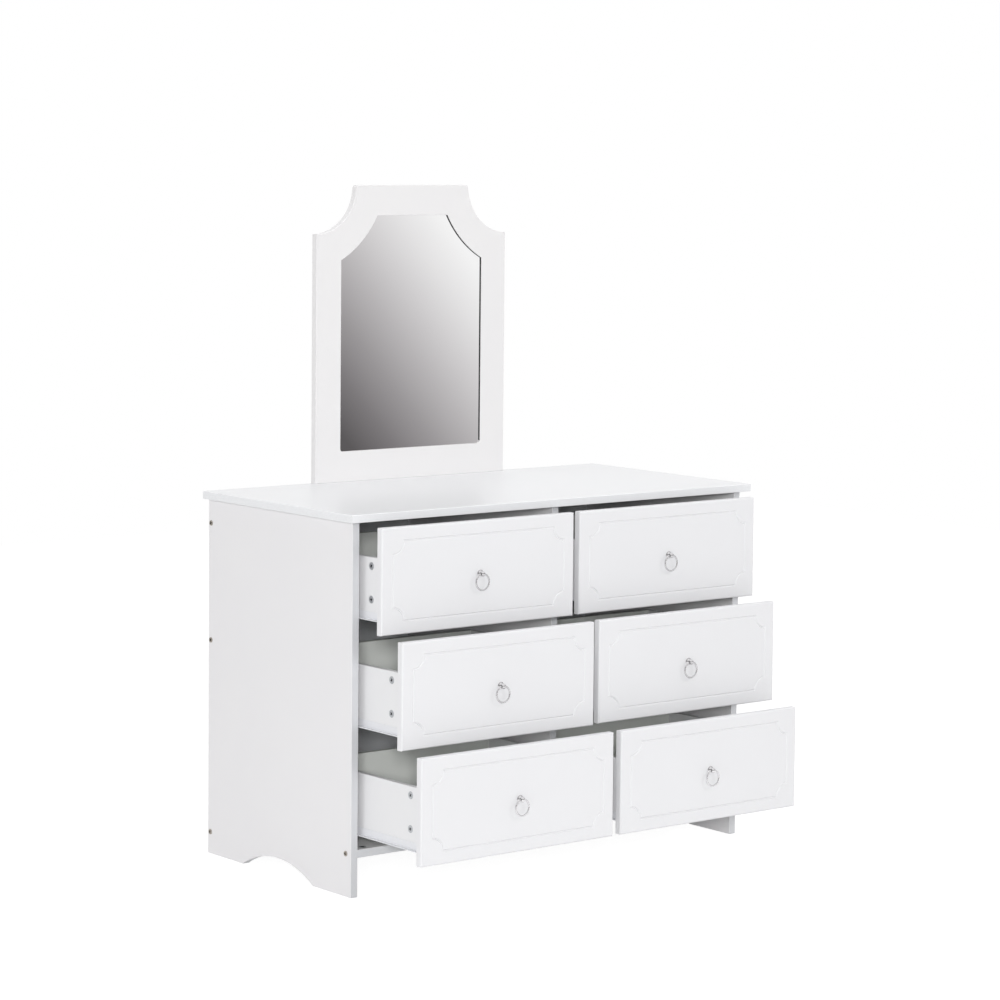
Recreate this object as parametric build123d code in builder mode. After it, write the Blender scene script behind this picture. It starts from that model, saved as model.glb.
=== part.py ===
"""Six-drawer dresser with a standing mirror, in white-faced board.

Frame: +X to the right, +Y to the back, +Z up. The origin is the middle of the
bounding box on the floor, with the drawers pulled out in three steps.
All sizes are in millimetres.
"""
import os
from math import sqrt

from build123d import *

os.makedirs("parts", exist_ok=True)

# ------------------------------------------------------------------ boards
board = 16.0
hardboard = 3.0
edge_round = 1.0

# ----------------------------------------------------------------- carcass
carcass_width = 1008.0
carcass_depth = 504.0
top_height = 750.0
bottom_face_height = 93.0
top_side_overhang = 15.0
top_front_overhang = 19.0
foot_length = 128.0
arch_height = 34.0

# -------------------------------------------------------------- back rails
upper_rail_height = 100.0
middle_rail_height = 100.0
middle_rail_share = 0.546
plinth_clearance = 13.0

# ------------------------------------------------------------------ mirror
mirror_width = 500.0
mirror_height = 624.0
mirror_margin = 64.0
shoulder_cut = 102.0
shoulder_radius = 102.0
crown_round = 6.0
opening_cut = 93.0
opening_radius = 224.0
opening_round = 6.0
mirror_lip = 4.0
glass_thickness = 4.0
rabbet_width = 10.0
rabbet_clearance = 1.0

# ----------------------------------------------------------- drawer fronts
front_side_gap = 2.0
front_low_gap = 1.5
front_row_gap = 4.5
front_high_gap = 6.5
front_round = 4.0
groove_margin = 24.0
groove_width = 4.5
groove_depth = 2.0
groove_notch_radius = 26.0
pulled_out = {"upper": (72.0, 66.0), "middle": (140.0, 131.0), "lower": (203.0, 202.0)}

# ------------------------------------------------------------ drawer boxes
box_side_thickness = 12.0
box_side_height = 120.0
box_side_rise = 27.0
box_rear_clearance = 99.0
box_groove_rise = 10.0
box_groove_depth = 5.0
box_groove_clearance = 0.2

# ----------------------------------------------------------------- runners
runner_gap = 12.5
runner_sheet = 1.2
flange_clearance = 1.1
under_lip = 9.0
runner_web = 14.0
runner_lip_rise = 8.0
runner_setback = 2.0
roller_radius = 6.0
roller_width = 6.0
roller_inset = 12.0
roller_wall_gap = 2.6
roller_clearance = 0.3
roller_pin_radius = 1.5
pin_clearance = 0.05
runner_tab_length = 20.0

# --------------------------------------------------------------- fasteners
screw_radius = 3.4
screw_head_radius = 5.5
screw_head_height = 1.5
screw_grip = 34.0
screw_inset = 9.0
front_screw_inset = 17.0
hole_clearance = 0.1
cross_length = 7.0
cross_width = 1.6
cross_depth = 0.9
cam_radius = 7.5
cam_proud = 0.4
box_cam_depth = 10.0
box_cam_inset = 33.0
box_cam_heights = (38.0, 103.0)
bottom_cam_depth = 12.5
bottom_cam_inset = 24.0
bolt_radius = 3.0
bolt_grip = 11.0
dowel_radius = 4.0
dowel_length = 30.0
dowel_grip = 11.0
side_dowel_shares = (0.12, 0.5, 0.88)
middle_dowel_shares = (0.12, 0.8)
plate_width = 30.0
plate_thickness = 2.5
plate_drop = 100.0
plate_rise = 120.0
plate_screw_radius = 2.0
plate_screw_grip = 12.0
plate_head_radius = 3.6
plate_head_height = 2.0
plate_screw_rises = (-85.0, -35.0, 40.0, 95.0)

# ------------------------------------------------------------------- pulls
pull_reach = 8.0
pull_rose_radius = 7.5
pull_rose_height = 2.5
pull_rose_round = 1.5
pull_stem_radius = 3.2
pull_eye_radius = 5.5
pull_screw_radius = 2.0
pull_screw_grip = 4.0
pull_head_radius = 4.0
pull_head_height = 2.5
ring_radius = 16.0
ring_wire_radius = 1.7
ring_eye_clearance = 0.12

# ------------------------------------------------------- worked-out places
bottom_rear_height = top_height - board
inner_half = carcass_width / 2 - board
outer_half = carcass_width / 2
bay_width = inner_half - board / 2
bay_middle = (board / 2 + inner_half) / 2
front_width = bay_width - 2 * front_side_gap
bay_height = top_height - board - bottom_face_height
front_height = (bay_height - front_low_gap - front_high_gap - 2 * front_row_gap) / 3
row_pitch = front_height + front_row_gap

most_pulled = max(max(pair) for pair in pulled_out.values())
reach_front = most_pulled + pull_reach + pull_eye_radius
reach_back = carcass_depth + plate_thickness + plate_head_height
face_y = (reach_front - reach_back) / 2
rear_y = face_y + carcass_depth
rail_y = rear_y - board
back_y = rail_y - hardboard

box_depth = back_y - face_y - board - box_rear_clearance
box_half = bay_width / 2 - runner_gap
screw_bore = screw_radius + hole_clearance
dowel_bore = dowel_radius + hole_clearance
bolt_bore = bolt_radius + hole_clearance
cam_bore = cam_radius + hole_clearance
plinth_height = bottom_face_height - board - plinth_clearance
plinth_middle = plinth_clearance + plinth_height / 2
upper_rail_middle = bottom_rear_height - upper_rail_height / 2
middle_rail_middle = bottom_face_height + middle_rail_share * bay_height
back_screw_heights = (plinth_middle, middle_rail_middle, upper_rail_middle)
bottom_middle_height = bottom_face_height - board / 2
glass_x = mirror_width / 2 - mirror_margin
plate_x = mirror_width / 2 - (mirror_margin - rabbet_width) / 2
side_dowel_ys = tuple(face_y + share * carcass_depth for share in side_dowel_shares)
middle_dowel_ys = tuple(face_y + share * carcass_depth for share in middle_dowel_shares)
runner_flange = runner_gap - 2 * runner_sheet - flange_clearance
roller_drop = runner_sheet + roller_clearance + roller_radius
track_drop = roller_drop + roller_radius + roller_clearance
rows = {"lower": 0, "middle": 1, "upper": 2}
columns = {"left": -1, "right": 1}


def upright(y):
    """The XZ plane at depth y; a negative extrusion goes towards the back."""
    return Plane.XZ.offset(-y)


def sideways(x):
    """The YZ plane at width x; a positive extrusion goes to the right."""
    return Plane.YZ.offset(x)


def level(z):
    """The XY plane at height z; a positive extrusion goes up."""
    return Plane.XY.offset(z)


def save(piece, name):
    """Label a finished piece and write its STEP file."""
    piece.part.label = name
    export_step(piece.part, f"parts/{name}.step")


def block(x, y, z):
    """Add a box between pairs of limits to the piece being built."""
    with BuildSketch(level(z[0])) as footprint:
        with Locations(((x[0] + x[1]) / 2, (y[0] + y[1]) / 2)):
            Rectangle(abs(x[1] - x[0]), abs(y[1] - y[0]))
    extrude(footprint.sketch, amount=z[1] - z[0])


def rod(plane, spot, radius, length, mode=Mode.ADD):
    """Add or cut a cylinder that starts on a plane at a local spot."""
    with BuildSketch(plane) as disc:
        with Locations(spot):
            Circle(radius)
    extrude(disc.sketch, amount=length, mode=mode)


def cross_recess(plane, spot, depth):
    """Cut a cross driver recess into the face that lies on the plane."""
    with BuildSketch(plane) as cross:
        with Locations(spot):
            Rectangle(cross_length, cross_width)
            Rectangle(cross_width, cross_length)
    extrude(cross.sketch, amount=depth, mode=Mode.SUBTRACT)


# ----------------------------------------------------------- carcass boards
with BuildPart() as top_panel:
    block(
        (-outer_half - top_side_overhang, outer_half + top_side_overhang),
        (face_y - top_front_overhang, rear_y),
        (bottom_rear_height, top_height),
    )
    fillet(top_panel.edges(), radius=edge_round)
    for x in (-outer_half + board / 2, outer_half - board / 2):
        for y in side_dowel_ys:
            rod(level(bottom_rear_height), (x, y), dowel_bore, dowel_grip, Mode.SUBTRACT)
    for y in middle_dowel_ys:
        rod(level(bottom_rear_height), (0, y), dowel_bore, dowel_grip, Mode.SUBTRACT)
save(top_panel, "top_panel")

for column, hand in columns.items():
    outer_face = hand * outer_half
    inner_face = hand * inner_half
    with BuildPart() as side_panel:
        with BuildSketch(sideways(min(outer_face, inner_face))):
            with BuildLine():
                Polyline(
                    (face_y + foot_length, 0),
                    (face_y, 0),
                    (face_y, bottom_rear_height),
                    (rear_y, bottom_rear_height),
                    (rear_y, 0),
                    (rear_y - foot_length, 0),
                )
                ThreePointArc(
                    (rear_y - foot_length, 0),
                    (face_y + carcass_depth / 2, arch_height),
                    (face_y + foot_length, 0),
                )
            make_face()
        extrude(amount=board)
        for z in back_screw_heights:
            rod(sideways(inner_face), (rear_y - screw_inset, z), screw_bore, hand * board, Mode.SUBTRACT)
        rod(
            sideways(inner_face),
            (face_y + front_screw_inset, bottom_middle_height),
            screw_bore,
            hand * board,
            Mode.SUBTRACT,
        )
        for y in side_dowel_ys:
            spot = (outer_face - hand * board / 2, y)
            rod(level(bottom_rear_height), spot, dowel_bore, dowel_grip - dowel_length, Mode.SUBTRACT)
        for y in side_dowel_ys[1:]:
            rod(sideways(inner_face), (y, bottom_middle_height), dowel_bore, hand * dowel_grip, Mode.SUBTRACT)
    save(side_panel, f"{column}_side_panel")

with BuildPart() as centre_divider:
    block((-board / 2, board / 2), (face_y, back_y), (bottom_face_height, bottom_rear_height))
    for y in middle_dowel_ys:
        rod(level(bottom_rear_height), (0, y), dowel_bore, dowel_grip - dowel_length, Mode.SUBTRACT)
        rod(level(bottom_face_height), (0, y), dowel_bore, dowel_length - dowel_grip, Mode.SUBTRACT)
save(centre_divider, "centre_divider")

with BuildPart() as bottom_panel:
    block(
        (-inner_half, inner_half),
        (face_y, rear_y),
        (bottom_face_height - board, bottom_face_height),
    )
    for hand in columns.values():
        rod(
            sideways(hand * inner_half),
            (face_y + front_screw_inset, bottom_middle_height),
            screw_bore,
            -hand * bottom_cam_inset,
            Mode.SUBTRACT,
        )
        rod(
            level(bottom_face_height),
            (hand * (inner_half - bottom_cam_inset), face_y + front_screw_inset),
            cam_bore,
            -bottom_cam_depth,
            Mode.SUBTRACT,
        )
        for y in side_dowel_ys[1:]:
            rod(
                sideways(hand * inner_half),
                (y, bottom_middle_height),
                dowel_bore,
                hand * (dowel_grip - dowel_length),
                Mode.SUBTRACT,
            )
    for y in middle_dowel_ys:
        rod(level(bottom_face_height), (0, y), dowel_bore, -dowel_grip, Mode.SUBTRACT)
save(bottom_panel, "bottom_panel")

with BuildPart() as back_panel:
    block((-inner_half, inner_half), (back_y, rail_y), (bottom_face_height, bottom_rear_height))
save(back_panel, "back_panel")

with BuildPart() as back_rails:
    rail_limits = (
        (plinth_middle, plinth_height),
        (middle_rail_middle, middle_rail_height),
        (upper_rail_middle, upper_rail_height),
    )
    for middle, height in rail_limits:
        block((-inner_half, inner_half), (rail_y, rear_y), (middle - height / 2, middle + height / 2))
        for hand in columns.values():
            rod(
                sideways(hand * inner_half),
                (rear_y - screw_inset, middle),
                screw_bore,
                -hand * screw_grip,
                Mode.SUBTRACT,
            )
    for x in (-plate_x, plate_x):
        for rise in plate_screw_rises[:2]:
            bore = plate_screw_radius + hole_clearance
            rod(upright(rear_y), (x, top_height + rise), bore, plate_screw_grip, Mode.SUBTRACT)
save(back_rails, "back_rails")


# ------------------------------------------------------------------- mirror
def mirror_outline(half_width, low, high, cut, radius):
    """Draw an upright panel whose top corners are cut away by hollow arcs."""
    with BuildLine() as rim:
        Polyline(
            (-half_width, high - cut),
            (-half_width, low),
            (half_width, low),
            (half_width, high - cut),
        )
        RadiusArc((half_width, high - cut), (half_width - cut, high), radius)
        Line((half_width - cut, high), (cut - half_width, high))
        RadiusArc((cut - half_width, high), (-half_width, high - cut), radius)
    make_face(rim.edges())


glass_low = top_height + mirror_margin
glass_high = top_height + mirror_height - mirror_margin

with BuildPart() as mirror_frame:
    with BuildSketch(upright(rail_y)):
        mirror_outline(
            mirror_width / 2, top_height, top_height + mirror_height, shoulder_cut, shoulder_radius
        )
    extrude(amount=-board)
    crown_edges = mirror_frame.edges().filter_by(Axis.Y).group_by(Axis.Z)[-1]
    fillet(crown_edges, radius=crown_round)
    with BuildSketch(upright(rail_y)) as opening:
        mirror_outline(glass_x, glass_low, glass_high, opening_cut, opening_radius)
        fillet(opening.vertices().group_by(Axis.Y)[0], radius=opening_round)
    extrude(amount=-board, mode=Mode.SUBTRACT)
    with BuildSketch(upright(rail_y + mirror_lip)):
        mirror_outline(
            glass_x + rabbet_width,
            glass_low - rabbet_width,
            glass_high + rabbet_width,
            opening_cut,
            opening_radius,
        )
    extrude(amount=mirror_lip - board, mode=Mode.SUBTRACT)
    for x in (-plate_x, plate_x):
        for rise in plate_screw_rises[2:]:
            bore = plate_screw_radius + hole_clearance
            rod(upright(rear_y), (x, top_height + rise), bore, plate_screw_grip, Mode.SUBTRACT)
save(mirror_frame, "mirror_frame")

pane_growth = rabbet_width - rabbet_clearance
pane_sizes = (
    glass_x + pane_growth,
    glass_low - pane_growth,
    glass_high + pane_growth,
    opening_cut,
    opening_radius,
)

with BuildPart() as mirror_glass:
    with BuildSketch(upright(rail_y + mirror_lip)):
        mirror_outline(*pane_sizes)
    extrude(amount=-glass_thickness)
save(mirror_glass, "mirror_glass")

with BuildPart() as mirror_backboard:
    with BuildSketch(upright(rail_y + mirror_lip + glass_thickness)):
        mirror_outline(*pane_sizes)
    extrude(amount=-hardboard)
save(mirror_backboard, "mirror_backboard")


# -------------------------------------------------------- carcass fasteners
def carcass_screw(hand, y, z, grip):
    """Add one cross-headed screw that runs from a side's outer face inwards."""
    outer_face = sideways(hand * outer_half)
    head_face = sideways(hand * (outer_half + screw_head_height))
    rod(outer_face, (y, z), screw_radius, -hand * (board + grip))
    rod(outer_face, (y, z), screw_head_radius, hand * screw_head_height)
    cross_recess(head_face, (y, z), -hand * cross_depth)


with BuildPart() as carcass_fasteners:
    front_grip = bottom_cam_inset - cam_radius - roller_clearance
    for hand in columns.values():
        for z in back_screw_heights:
            carcass_screw(hand, rear_y - screw_inset, z, screw_grip)
        carcass_screw(hand, face_y + front_screw_inset, bottom_middle_height, front_grip)
        cam_spot = (hand * (inner_half - bottom_cam_inset), face_y + front_screw_inset)
        rod(level(bottom_face_height - bottom_cam_depth), cam_spot, cam_radius, bottom_cam_depth)
        cross_recess(level(bottom_face_height), cam_spot, -cross_depth)
        for y in side_dowel_ys:
            spot = (hand * (outer_half - board / 2), y)
            rod(level(bottom_rear_height + dowel_grip), spot, dowel_radius, -dowel_length)
        for y in side_dowel_ys[1:]:
            dowel_end = sideways(hand * (inner_half + dowel_grip))
            rod(dowel_end, (y, bottom_middle_height), dowel_radius, -hand * dowel_length)
    for y in middle_dowel_ys:
        rod(level(bottom_rear_height + dowel_grip), (0, y), dowel_radius, -dowel_length)
        rod(level(bottom_face_height - dowel_grip), (0, y), dowel_radius, dowel_length)
    for x in (-plate_x, plate_x):
        block(
            (x - plate_width / 2, x + plate_width / 2),
            (rear_y, rear_y + plate_thickness),
            (top_height - plate_drop, top_height + plate_rise),
        )
        for rise in plate_screw_rises:
            spot = (x, top_height + rise)
            rod(upright(rear_y), spot, plate_screw_radius, plate_screw_grip)
            rod(upright(rear_y + plate_thickness), spot, plate_head_radius, -plate_head_height)
save(carcass_fasteners, "carcass_fasteners")


# ------------------------------------------------------------------ runners
def row_floor(row):
    """Height of the lower edge of a row's drawer fronts."""
    return bottom_face_height + front_low_gap + rows[row] * row_pitch


def profile(y, length, limits):
    """Add a rolled strip: rectangles given as x and z limits, drawn out along Y."""
    with BuildSketch(upright(y)) as strip:
        for x0, x1, z0, z1 in limits:
            with Locations(((x0 + x1) / 2, (z0 + z1) / 2)):
                Rectangle(abs(x1 - x0), abs(z1 - z0))
    extrude(strip.sketch, amount=-length)


def roller(x_start, hand, y, z):
    """Add one loose roller that faces away from x_start on the given hand."""
    rod(sideways(x_start), (y, z), roller_radius, hand * roller_width)
    rod(sideways(x_start), (y, z), roller_pin_radius + pin_clearance, hand * roller_width, Mode.SUBTRACT)


with BuildPart() as cabinet_runners:
    for row in rows:
        edge_z = row_floor(row) + box_side_rise
        for hand in columns.values():
            for inward in (-1, 1):
                wall_x = hand * bay_middle - inward * bay_width / 2
                start_y = face_y + board + runner_setback
                web_x = wall_x + inward * runner_sheet
                lip_x = wall_x + inward * (runner_sheet + runner_flange)
                pin_y = start_y + roller_inset
                wheel_x = wall_x + inward * roller_wall_gap
                profile(
                    start_y,
                    box_depth - runner_setback,
                    (
                        (wall_x, web_x, edge_z - track_drop - runner_sheet, edge_z + runner_lip_rise),
                        (wall_x, lip_x, edge_z - track_drop - runner_sheet, edge_z - track_drop),
                        (wall_x, lip_x, edge_z + runner_lip_rise - runner_sheet, edge_z + runner_lip_rise),
                    ),
                )
                roller(wheel_x, inward, pin_y, edge_z - roller_drop)
                pin_length = roller_wall_gap + roller_width - runner_sheet
                rod(sideways(web_x), (pin_y, edge_z - roller_drop), roller_pin_radius, inward * pin_length)
save(cabinet_runners, "cabinet_runners")


# ------------------------------------------------------------------ drawers
def notched_outline(width, height, growth):
    """Draw a rectangle with hollow quarter-circle corners, grown on all sides."""
    Rectangle(width + 2 * growth, height + 2 * growth)
    with GridLocations(width, height, 2, 2):
        Circle(groove_notch_radius - growth, mode=Mode.SUBTRACT)


def drawer_front(name, x, y, z):
    """Front board with a rounded rim and a routed notched line."""
    groove_size = (
        front_width - 2 * groove_margin - groove_width,
        front_height - 2 * groove_margin - groove_width,
    )
    face = upright(y)
    spot = (x, z + front_height / 2)
    edge_z = z + box_side_rise
    with BuildPart() as front:
        with BuildSketch(face):
            with Locations(spot):
                Rectangle(front_width, front_height)
        extrude(amount=-board)
        fillet(front.faces().sort_by(Axis.Y)[0].edges(), radius=front_round)
        with BuildSketch(face):
            with Locations(spot):
                notched_outline(*groove_size, groove_width / 2)
        extrude(amount=-groove_depth, mode=Mode.SUBTRACT)
        with BuildSketch(upright(y + groove_depth)):
            with Locations(spot):
                notched_outline(*groove_size, -groove_width / 2)
        extrude(amount=groove_depth)
        rod(face, spot, pull_screw_radius + hole_clearance, -board, Mode.SUBTRACT)
        for hand in columns.values():
            for rise in box_cam_heights:
                bolt_spot = (x + hand * (box_half - box_side_thickness / 2), edge_z + rise)
                rod(upright(y + board), bolt_spot, bolt_bore, bolt_grip, Mode.SUBTRACT)
        groove_z = edge_z + box_groove_rise
        groove_half = box_half - box_side_thickness + box_groove_depth
        with BuildSketch(upright(y + board)):
            with Locations((x, groove_z + (hardboard + box_groove_clearance) / 2)):
                Rectangle(2 * groove_half, hardboard + box_groove_clearance)
        extrude(amount=box_groove_depth, mode=Mode.SUBTRACT)
    save(front, f"{name}_front")


def drawer_side(name, hand, x, y, z):
    """One side of a drawer box, with cam bores and a slot for the bottom."""
    edge_z = z + box_side_rise
    outer = x + hand * box_half
    inner = outer - hand * box_side_thickness
    box_y = y + board
    groove_z = edge_z + box_groove_rise
    with BuildPart() as side:
        with BuildSketch(sideways(min(outer, inner))):
            with Locations((box_y + box_depth / 2, edge_z + box_side_height / 2)):
                Rectangle(box_depth, box_side_height)
        extrude(amount=box_side_thickness)
        with BuildSketch(sideways(inner)):
            with Locations((box_y + box_depth / 2, groove_z + (hardboard + box_groove_clearance) / 2)):
                Rectangle(box_depth, hardboard + box_groove_clearance)
        extrude(amount=hand * box_groove_depth, mode=Mode.SUBTRACT)
        for rise in box_cam_heights:
            cam_spot = (box_y + box_cam_inset, edge_z + rise)
            rod(sideways(outer), cam_spot, cam_bore, -hand * box_cam_depth, Mode.SUBTRACT)
            bolt_spot = (outer - hand * box_side_thickness / 2, edge_z + rise)
            rod(upright(box_y), bolt_spot, bolt_bore, -box_cam_inset, Mode.SUBTRACT)
    save(side, f"{name}_{'left' if hand < 0 else 'right'}_side")


def drawer_back(name, x, y, z):
    """Back of a drawer box, standing on the bottom between the sides."""
    inner_x = box_half - box_side_thickness
    end_y = y + board + box_depth
    low = z + box_side_rise + box_groove_rise + hardboard
    with BuildPart() as back:
        block(
            (x - inner_x, x + inner_x),
            (end_y - box_side_thickness, end_y),
            (low, z + box_side_rise + box_side_height),
        )
    save(back, f"{name}_back")


def drawer_bottom(name, x, y, z):
    """Thin bottom sheet held in the slots of the sides and the front."""
    reach = box_groove_depth - box_groove_clearance
    half = box_half - box_side_thickness + reach
    low = z + box_side_rise + box_groove_rise
    with BuildPart() as bottom:
        block((x - half, x + half), (y + board - reach, y + board + box_depth), (low, low + hardboard))
    save(bottom, f"{name}_bottom")


def drawer_hardware(name, x, y, z):
    """Runner strips, rear rollers, cams, bolts and the pull's screw."""
    edge_z = z + box_side_rise
    box_y = y + board
    tab_y = box_y + box_depth - runner_tab_length
    pin_y = box_y + box_depth - roller_inset
    wheel_z = edge_z - roller_drop
    with BuildPart() as hardware:
        for hand in columns.values():
            outer = x + hand * box_half
            skin = outer + hand * runner_sheet
            flange_x = skin + hand * runner_flange
            under_x = outer - hand * under_lip
            profile(
                box_y,
                box_depth,
                (
                    (outer, skin, edge_z - runner_sheet, edge_z + runner_web),
                    (under_x, flange_x, edge_z - runner_sheet, edge_z),
                ),
            )
            tab_low = wheel_z - roller_radius / 2
            profile(tab_y, runner_tab_length, ((outer, skin, tab_low, edge_z),))
            wheel_gap = runner_gap - runner_sheet - roller_wall_gap - roller_width
            wheel_x = skin + hand * wheel_gap
            roller(wheel_x, hand, pin_y, wheel_z)
            rod(sideways(skin), (pin_y, wheel_z), roller_pin_radius, hand * (wheel_gap + roller_width))
            for rise in box_cam_heights:
                cam_spot = (box_y + box_cam_inset, edge_z + rise)
                cam_floor = sideways(outer - hand * box_cam_depth)
                rod(cam_floor, cam_spot, cam_radius, hand * (box_cam_depth + cam_proud))
                cross_recess(sideways(outer + hand * cam_proud), cam_spot, -hand * cross_depth)
                bolt_spot = (outer - hand * box_side_thickness / 2, edge_z + rise)
                bolt_length = bolt_grip + box_cam_inset - cam_radius - roller_clearance
                rod(upright(box_y - bolt_grip), bolt_spot, bolt_radius, -bolt_length)
        spot = (x, z + front_height / 2)
        rod(upright(y - pull_screw_grip), spot, pull_screw_radius, -pull_screw_grip - board)
        rod(upright(y + board), spot, pull_head_radius, -pull_head_height)
    save(hardware, f"{name}_hardware")


def pull_post(name, x, y, z):
    """Turned post with a drilled ball that carries the ring."""
    eye_y = y - pull_reach
    sagitta = ring_radius - sqrt(ring_radius**2 - pull_eye_radius**2)
    eye_bore = ring_wire_radius + sagitta + ring_eye_clearance
    middle = z + front_height / 2
    with BuildPart() as post:
        rod(upright(y), (x, middle), pull_rose_radius, pull_rose_height)
        fillet(post.faces().sort_by(Axis.Y)[0].edges(), radius=pull_rose_round)
        rod(upright(y), (x, middle), pull_stem_radius, pull_reach - (eye_bore + pull_eye_radius) / 2)
        with BuildSketch(Plane(origin=(x, eye_y, middle), x_dir=(1, 0, 0), z_dir=(0, 0, 1))):
            Circle(pull_eye_radius)
            with Locations((0, -(eye_bore + pull_eye_radius) / 2)):
                Rectangle(2 * pull_eye_radius, pull_eye_radius - eye_bore, mode=Mode.INTERSECT)
        revolve(axis=Axis((x, eye_y, middle), (1, 0, 0)))
        bore = pull_screw_radius + hole_clearance
        rod(upright(y), (x, middle), bore, pull_screw_grip, Mode.SUBTRACT)
    save(post, f"{name}_pull_post")


def pull_ring(name, x, y, z):
    """Ring that hangs in the post's ball, flat before the front."""
    hang_z = z + front_height / 2 - ring_radius
    with BuildPart() as ring:
        with BuildSketch(Plane(origin=(x, y - pull_reach, hang_z), x_dir=(1, 0, 0), z_dir=(0, 0, 1))):
            with Locations((ring_radius, 0)):
                Circle(ring_wire_radius)
        revolve(axis=Axis((x, y - pull_reach, hang_z), (0, 1, 0)))
    save(ring, f"{name}_pull_ring")


for row in rows:
    for column, hand in columns.items():
        name = f"{row}_{column}_drawer"
        x = hand * bay_middle
        y = face_y - pulled_out[row][0 if hand < 0 else 1]
        z = row_floor(row)
        drawer_front(name, x, y, z)
        drawer_side(name, -1, x, y, z)
        drawer_side(name, 1, x, y, z)
        drawer_back(name, x, y, z)
        drawer_bottom(name, x, y, z)
        drawer_hardware(name, x, y, z)
        pull_post(name, x, y, z)
        pull_ring(name, x, y, z)
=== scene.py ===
"""Looks of a white dresser with a standing mirror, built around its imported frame."""

import logging
import math
from dataclasses import dataclass, field, replace
from enum import Enum
from typing import Callable, Iterable, Sequence

import bmesh
import bpy
from bpy.types import ID, Material, Mesh, Node, NodeSocket, NodeTree, Object, World
from mathutils import Matrix, Vector
from mathutils.geometry import tessellate_polygon


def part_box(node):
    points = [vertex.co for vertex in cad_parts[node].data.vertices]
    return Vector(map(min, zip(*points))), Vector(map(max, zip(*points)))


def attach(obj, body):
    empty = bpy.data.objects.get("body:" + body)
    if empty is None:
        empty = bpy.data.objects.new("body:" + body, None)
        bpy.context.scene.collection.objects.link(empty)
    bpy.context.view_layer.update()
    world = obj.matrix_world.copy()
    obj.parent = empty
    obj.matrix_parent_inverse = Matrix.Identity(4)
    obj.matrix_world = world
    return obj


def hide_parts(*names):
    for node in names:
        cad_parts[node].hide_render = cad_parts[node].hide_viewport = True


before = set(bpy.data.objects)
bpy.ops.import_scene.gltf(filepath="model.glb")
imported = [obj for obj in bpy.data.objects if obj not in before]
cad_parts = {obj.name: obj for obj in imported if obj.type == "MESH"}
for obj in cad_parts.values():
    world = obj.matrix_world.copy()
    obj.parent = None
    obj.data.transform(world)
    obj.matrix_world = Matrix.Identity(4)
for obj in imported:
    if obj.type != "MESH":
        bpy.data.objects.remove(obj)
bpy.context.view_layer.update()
MM = 0.001
QUARTER = math.pi / 2
Point = tuple[float, float]
log = logging.getLogger("dresser")


# ---------------------------------------------------------------- node tools
def linear(code: str) -> tuple[float, float, float, float]:
    """Turn an sRGB hex code into linear colour.

    Args:
        code: six hex digits after a hash sign.

    Returns:
        Linear red, green, blue and an alpha of one.
    """
    parts = [int(code[i : i + 2], 16) / 255 for i in (1, 3, 5)]
    light = [p / 12.92 if p <= 0.04045 else ((p + 0.055) / 1.055) ** 2.4 for p in parts]
    return (light[0], light[1], light[2], 1.0)


def add_node(tree: NodeTree, kind: str, inputs: dict | None = None, **settings: object) -> Node:
    """Add one node, set its properties and fill or link its inputs.

    Args:
        tree: the node tree to add to.
        kind: the node's type name.
        inputs: socket name or number to a value or to a socket to link from.
        settings: node properties to set before the inputs.

    Returns:
        The new node.
    """
    made = tree.nodes.new(kind)
    for name, value in settings.items():
        setattr(made, name, value)
    for name, value in (inputs or {}).items():
        if isinstance(value, NodeSocket):
            tree.links.new(value, made.inputs[name])
        else:
            made.inputs[name].default_value = value
    return made


def maths(tree: NodeTree, operation: str, *values: float | NodeSocket) -> NodeSocket:
    """Add one maths node and give its result."""
    return add_node(tree, "ShaderNodeMath", dict(enumerate(values)), operation=operation).outputs[0]


def ranged(tree: NodeTree, value: NodeSocket, span: Point, result: Point = (0.0, 1.0)) -> NodeSocket:
    """Map a value from a span to a result span, clamped at both ends.

    Args:
        tree: the node tree to add to.
        value: the socket to read.
        span: lowest and highest value read.
        result: what these two become.

    Returns:
        The mapped value's socket.
    """
    limits = dict(zip(("From Min", "From Max", "To Min", "To Max"), (*span, *result)))
    return add_node(tree, "ShaderNodeMapRange", {"Value": value, **limits}).outputs["Result"]


def blank_tree(holder: Material | World) -> NodeTree:
    """Turn on the nodes of a new material or world and empty its tree."""
    holder.use_nodes = True
    holder.node_tree.nodes.clear()
    return holder.node_tree


def linked(name: str, data: ID) -> Object:
    """Put new data into the scene as an object at the origin."""
    made = bpy.data.objects.new(name, data)
    bpy.context.scene.collection.objects.link(made)
    return made


# ------------------------------------------------------------------ finishes
# Noise settings of the slow colour drift and of the fine texture, and the span of grain values that moves the gloss.
CLOUD_NOISE = {"Detail": 3.0, "Roughness": 0.55}
GRAIN_NOISE = {"Detail": 2.0, "Roughness": 0.5}
GRAIN_SPAN = (0.3, 0.7)


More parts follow.
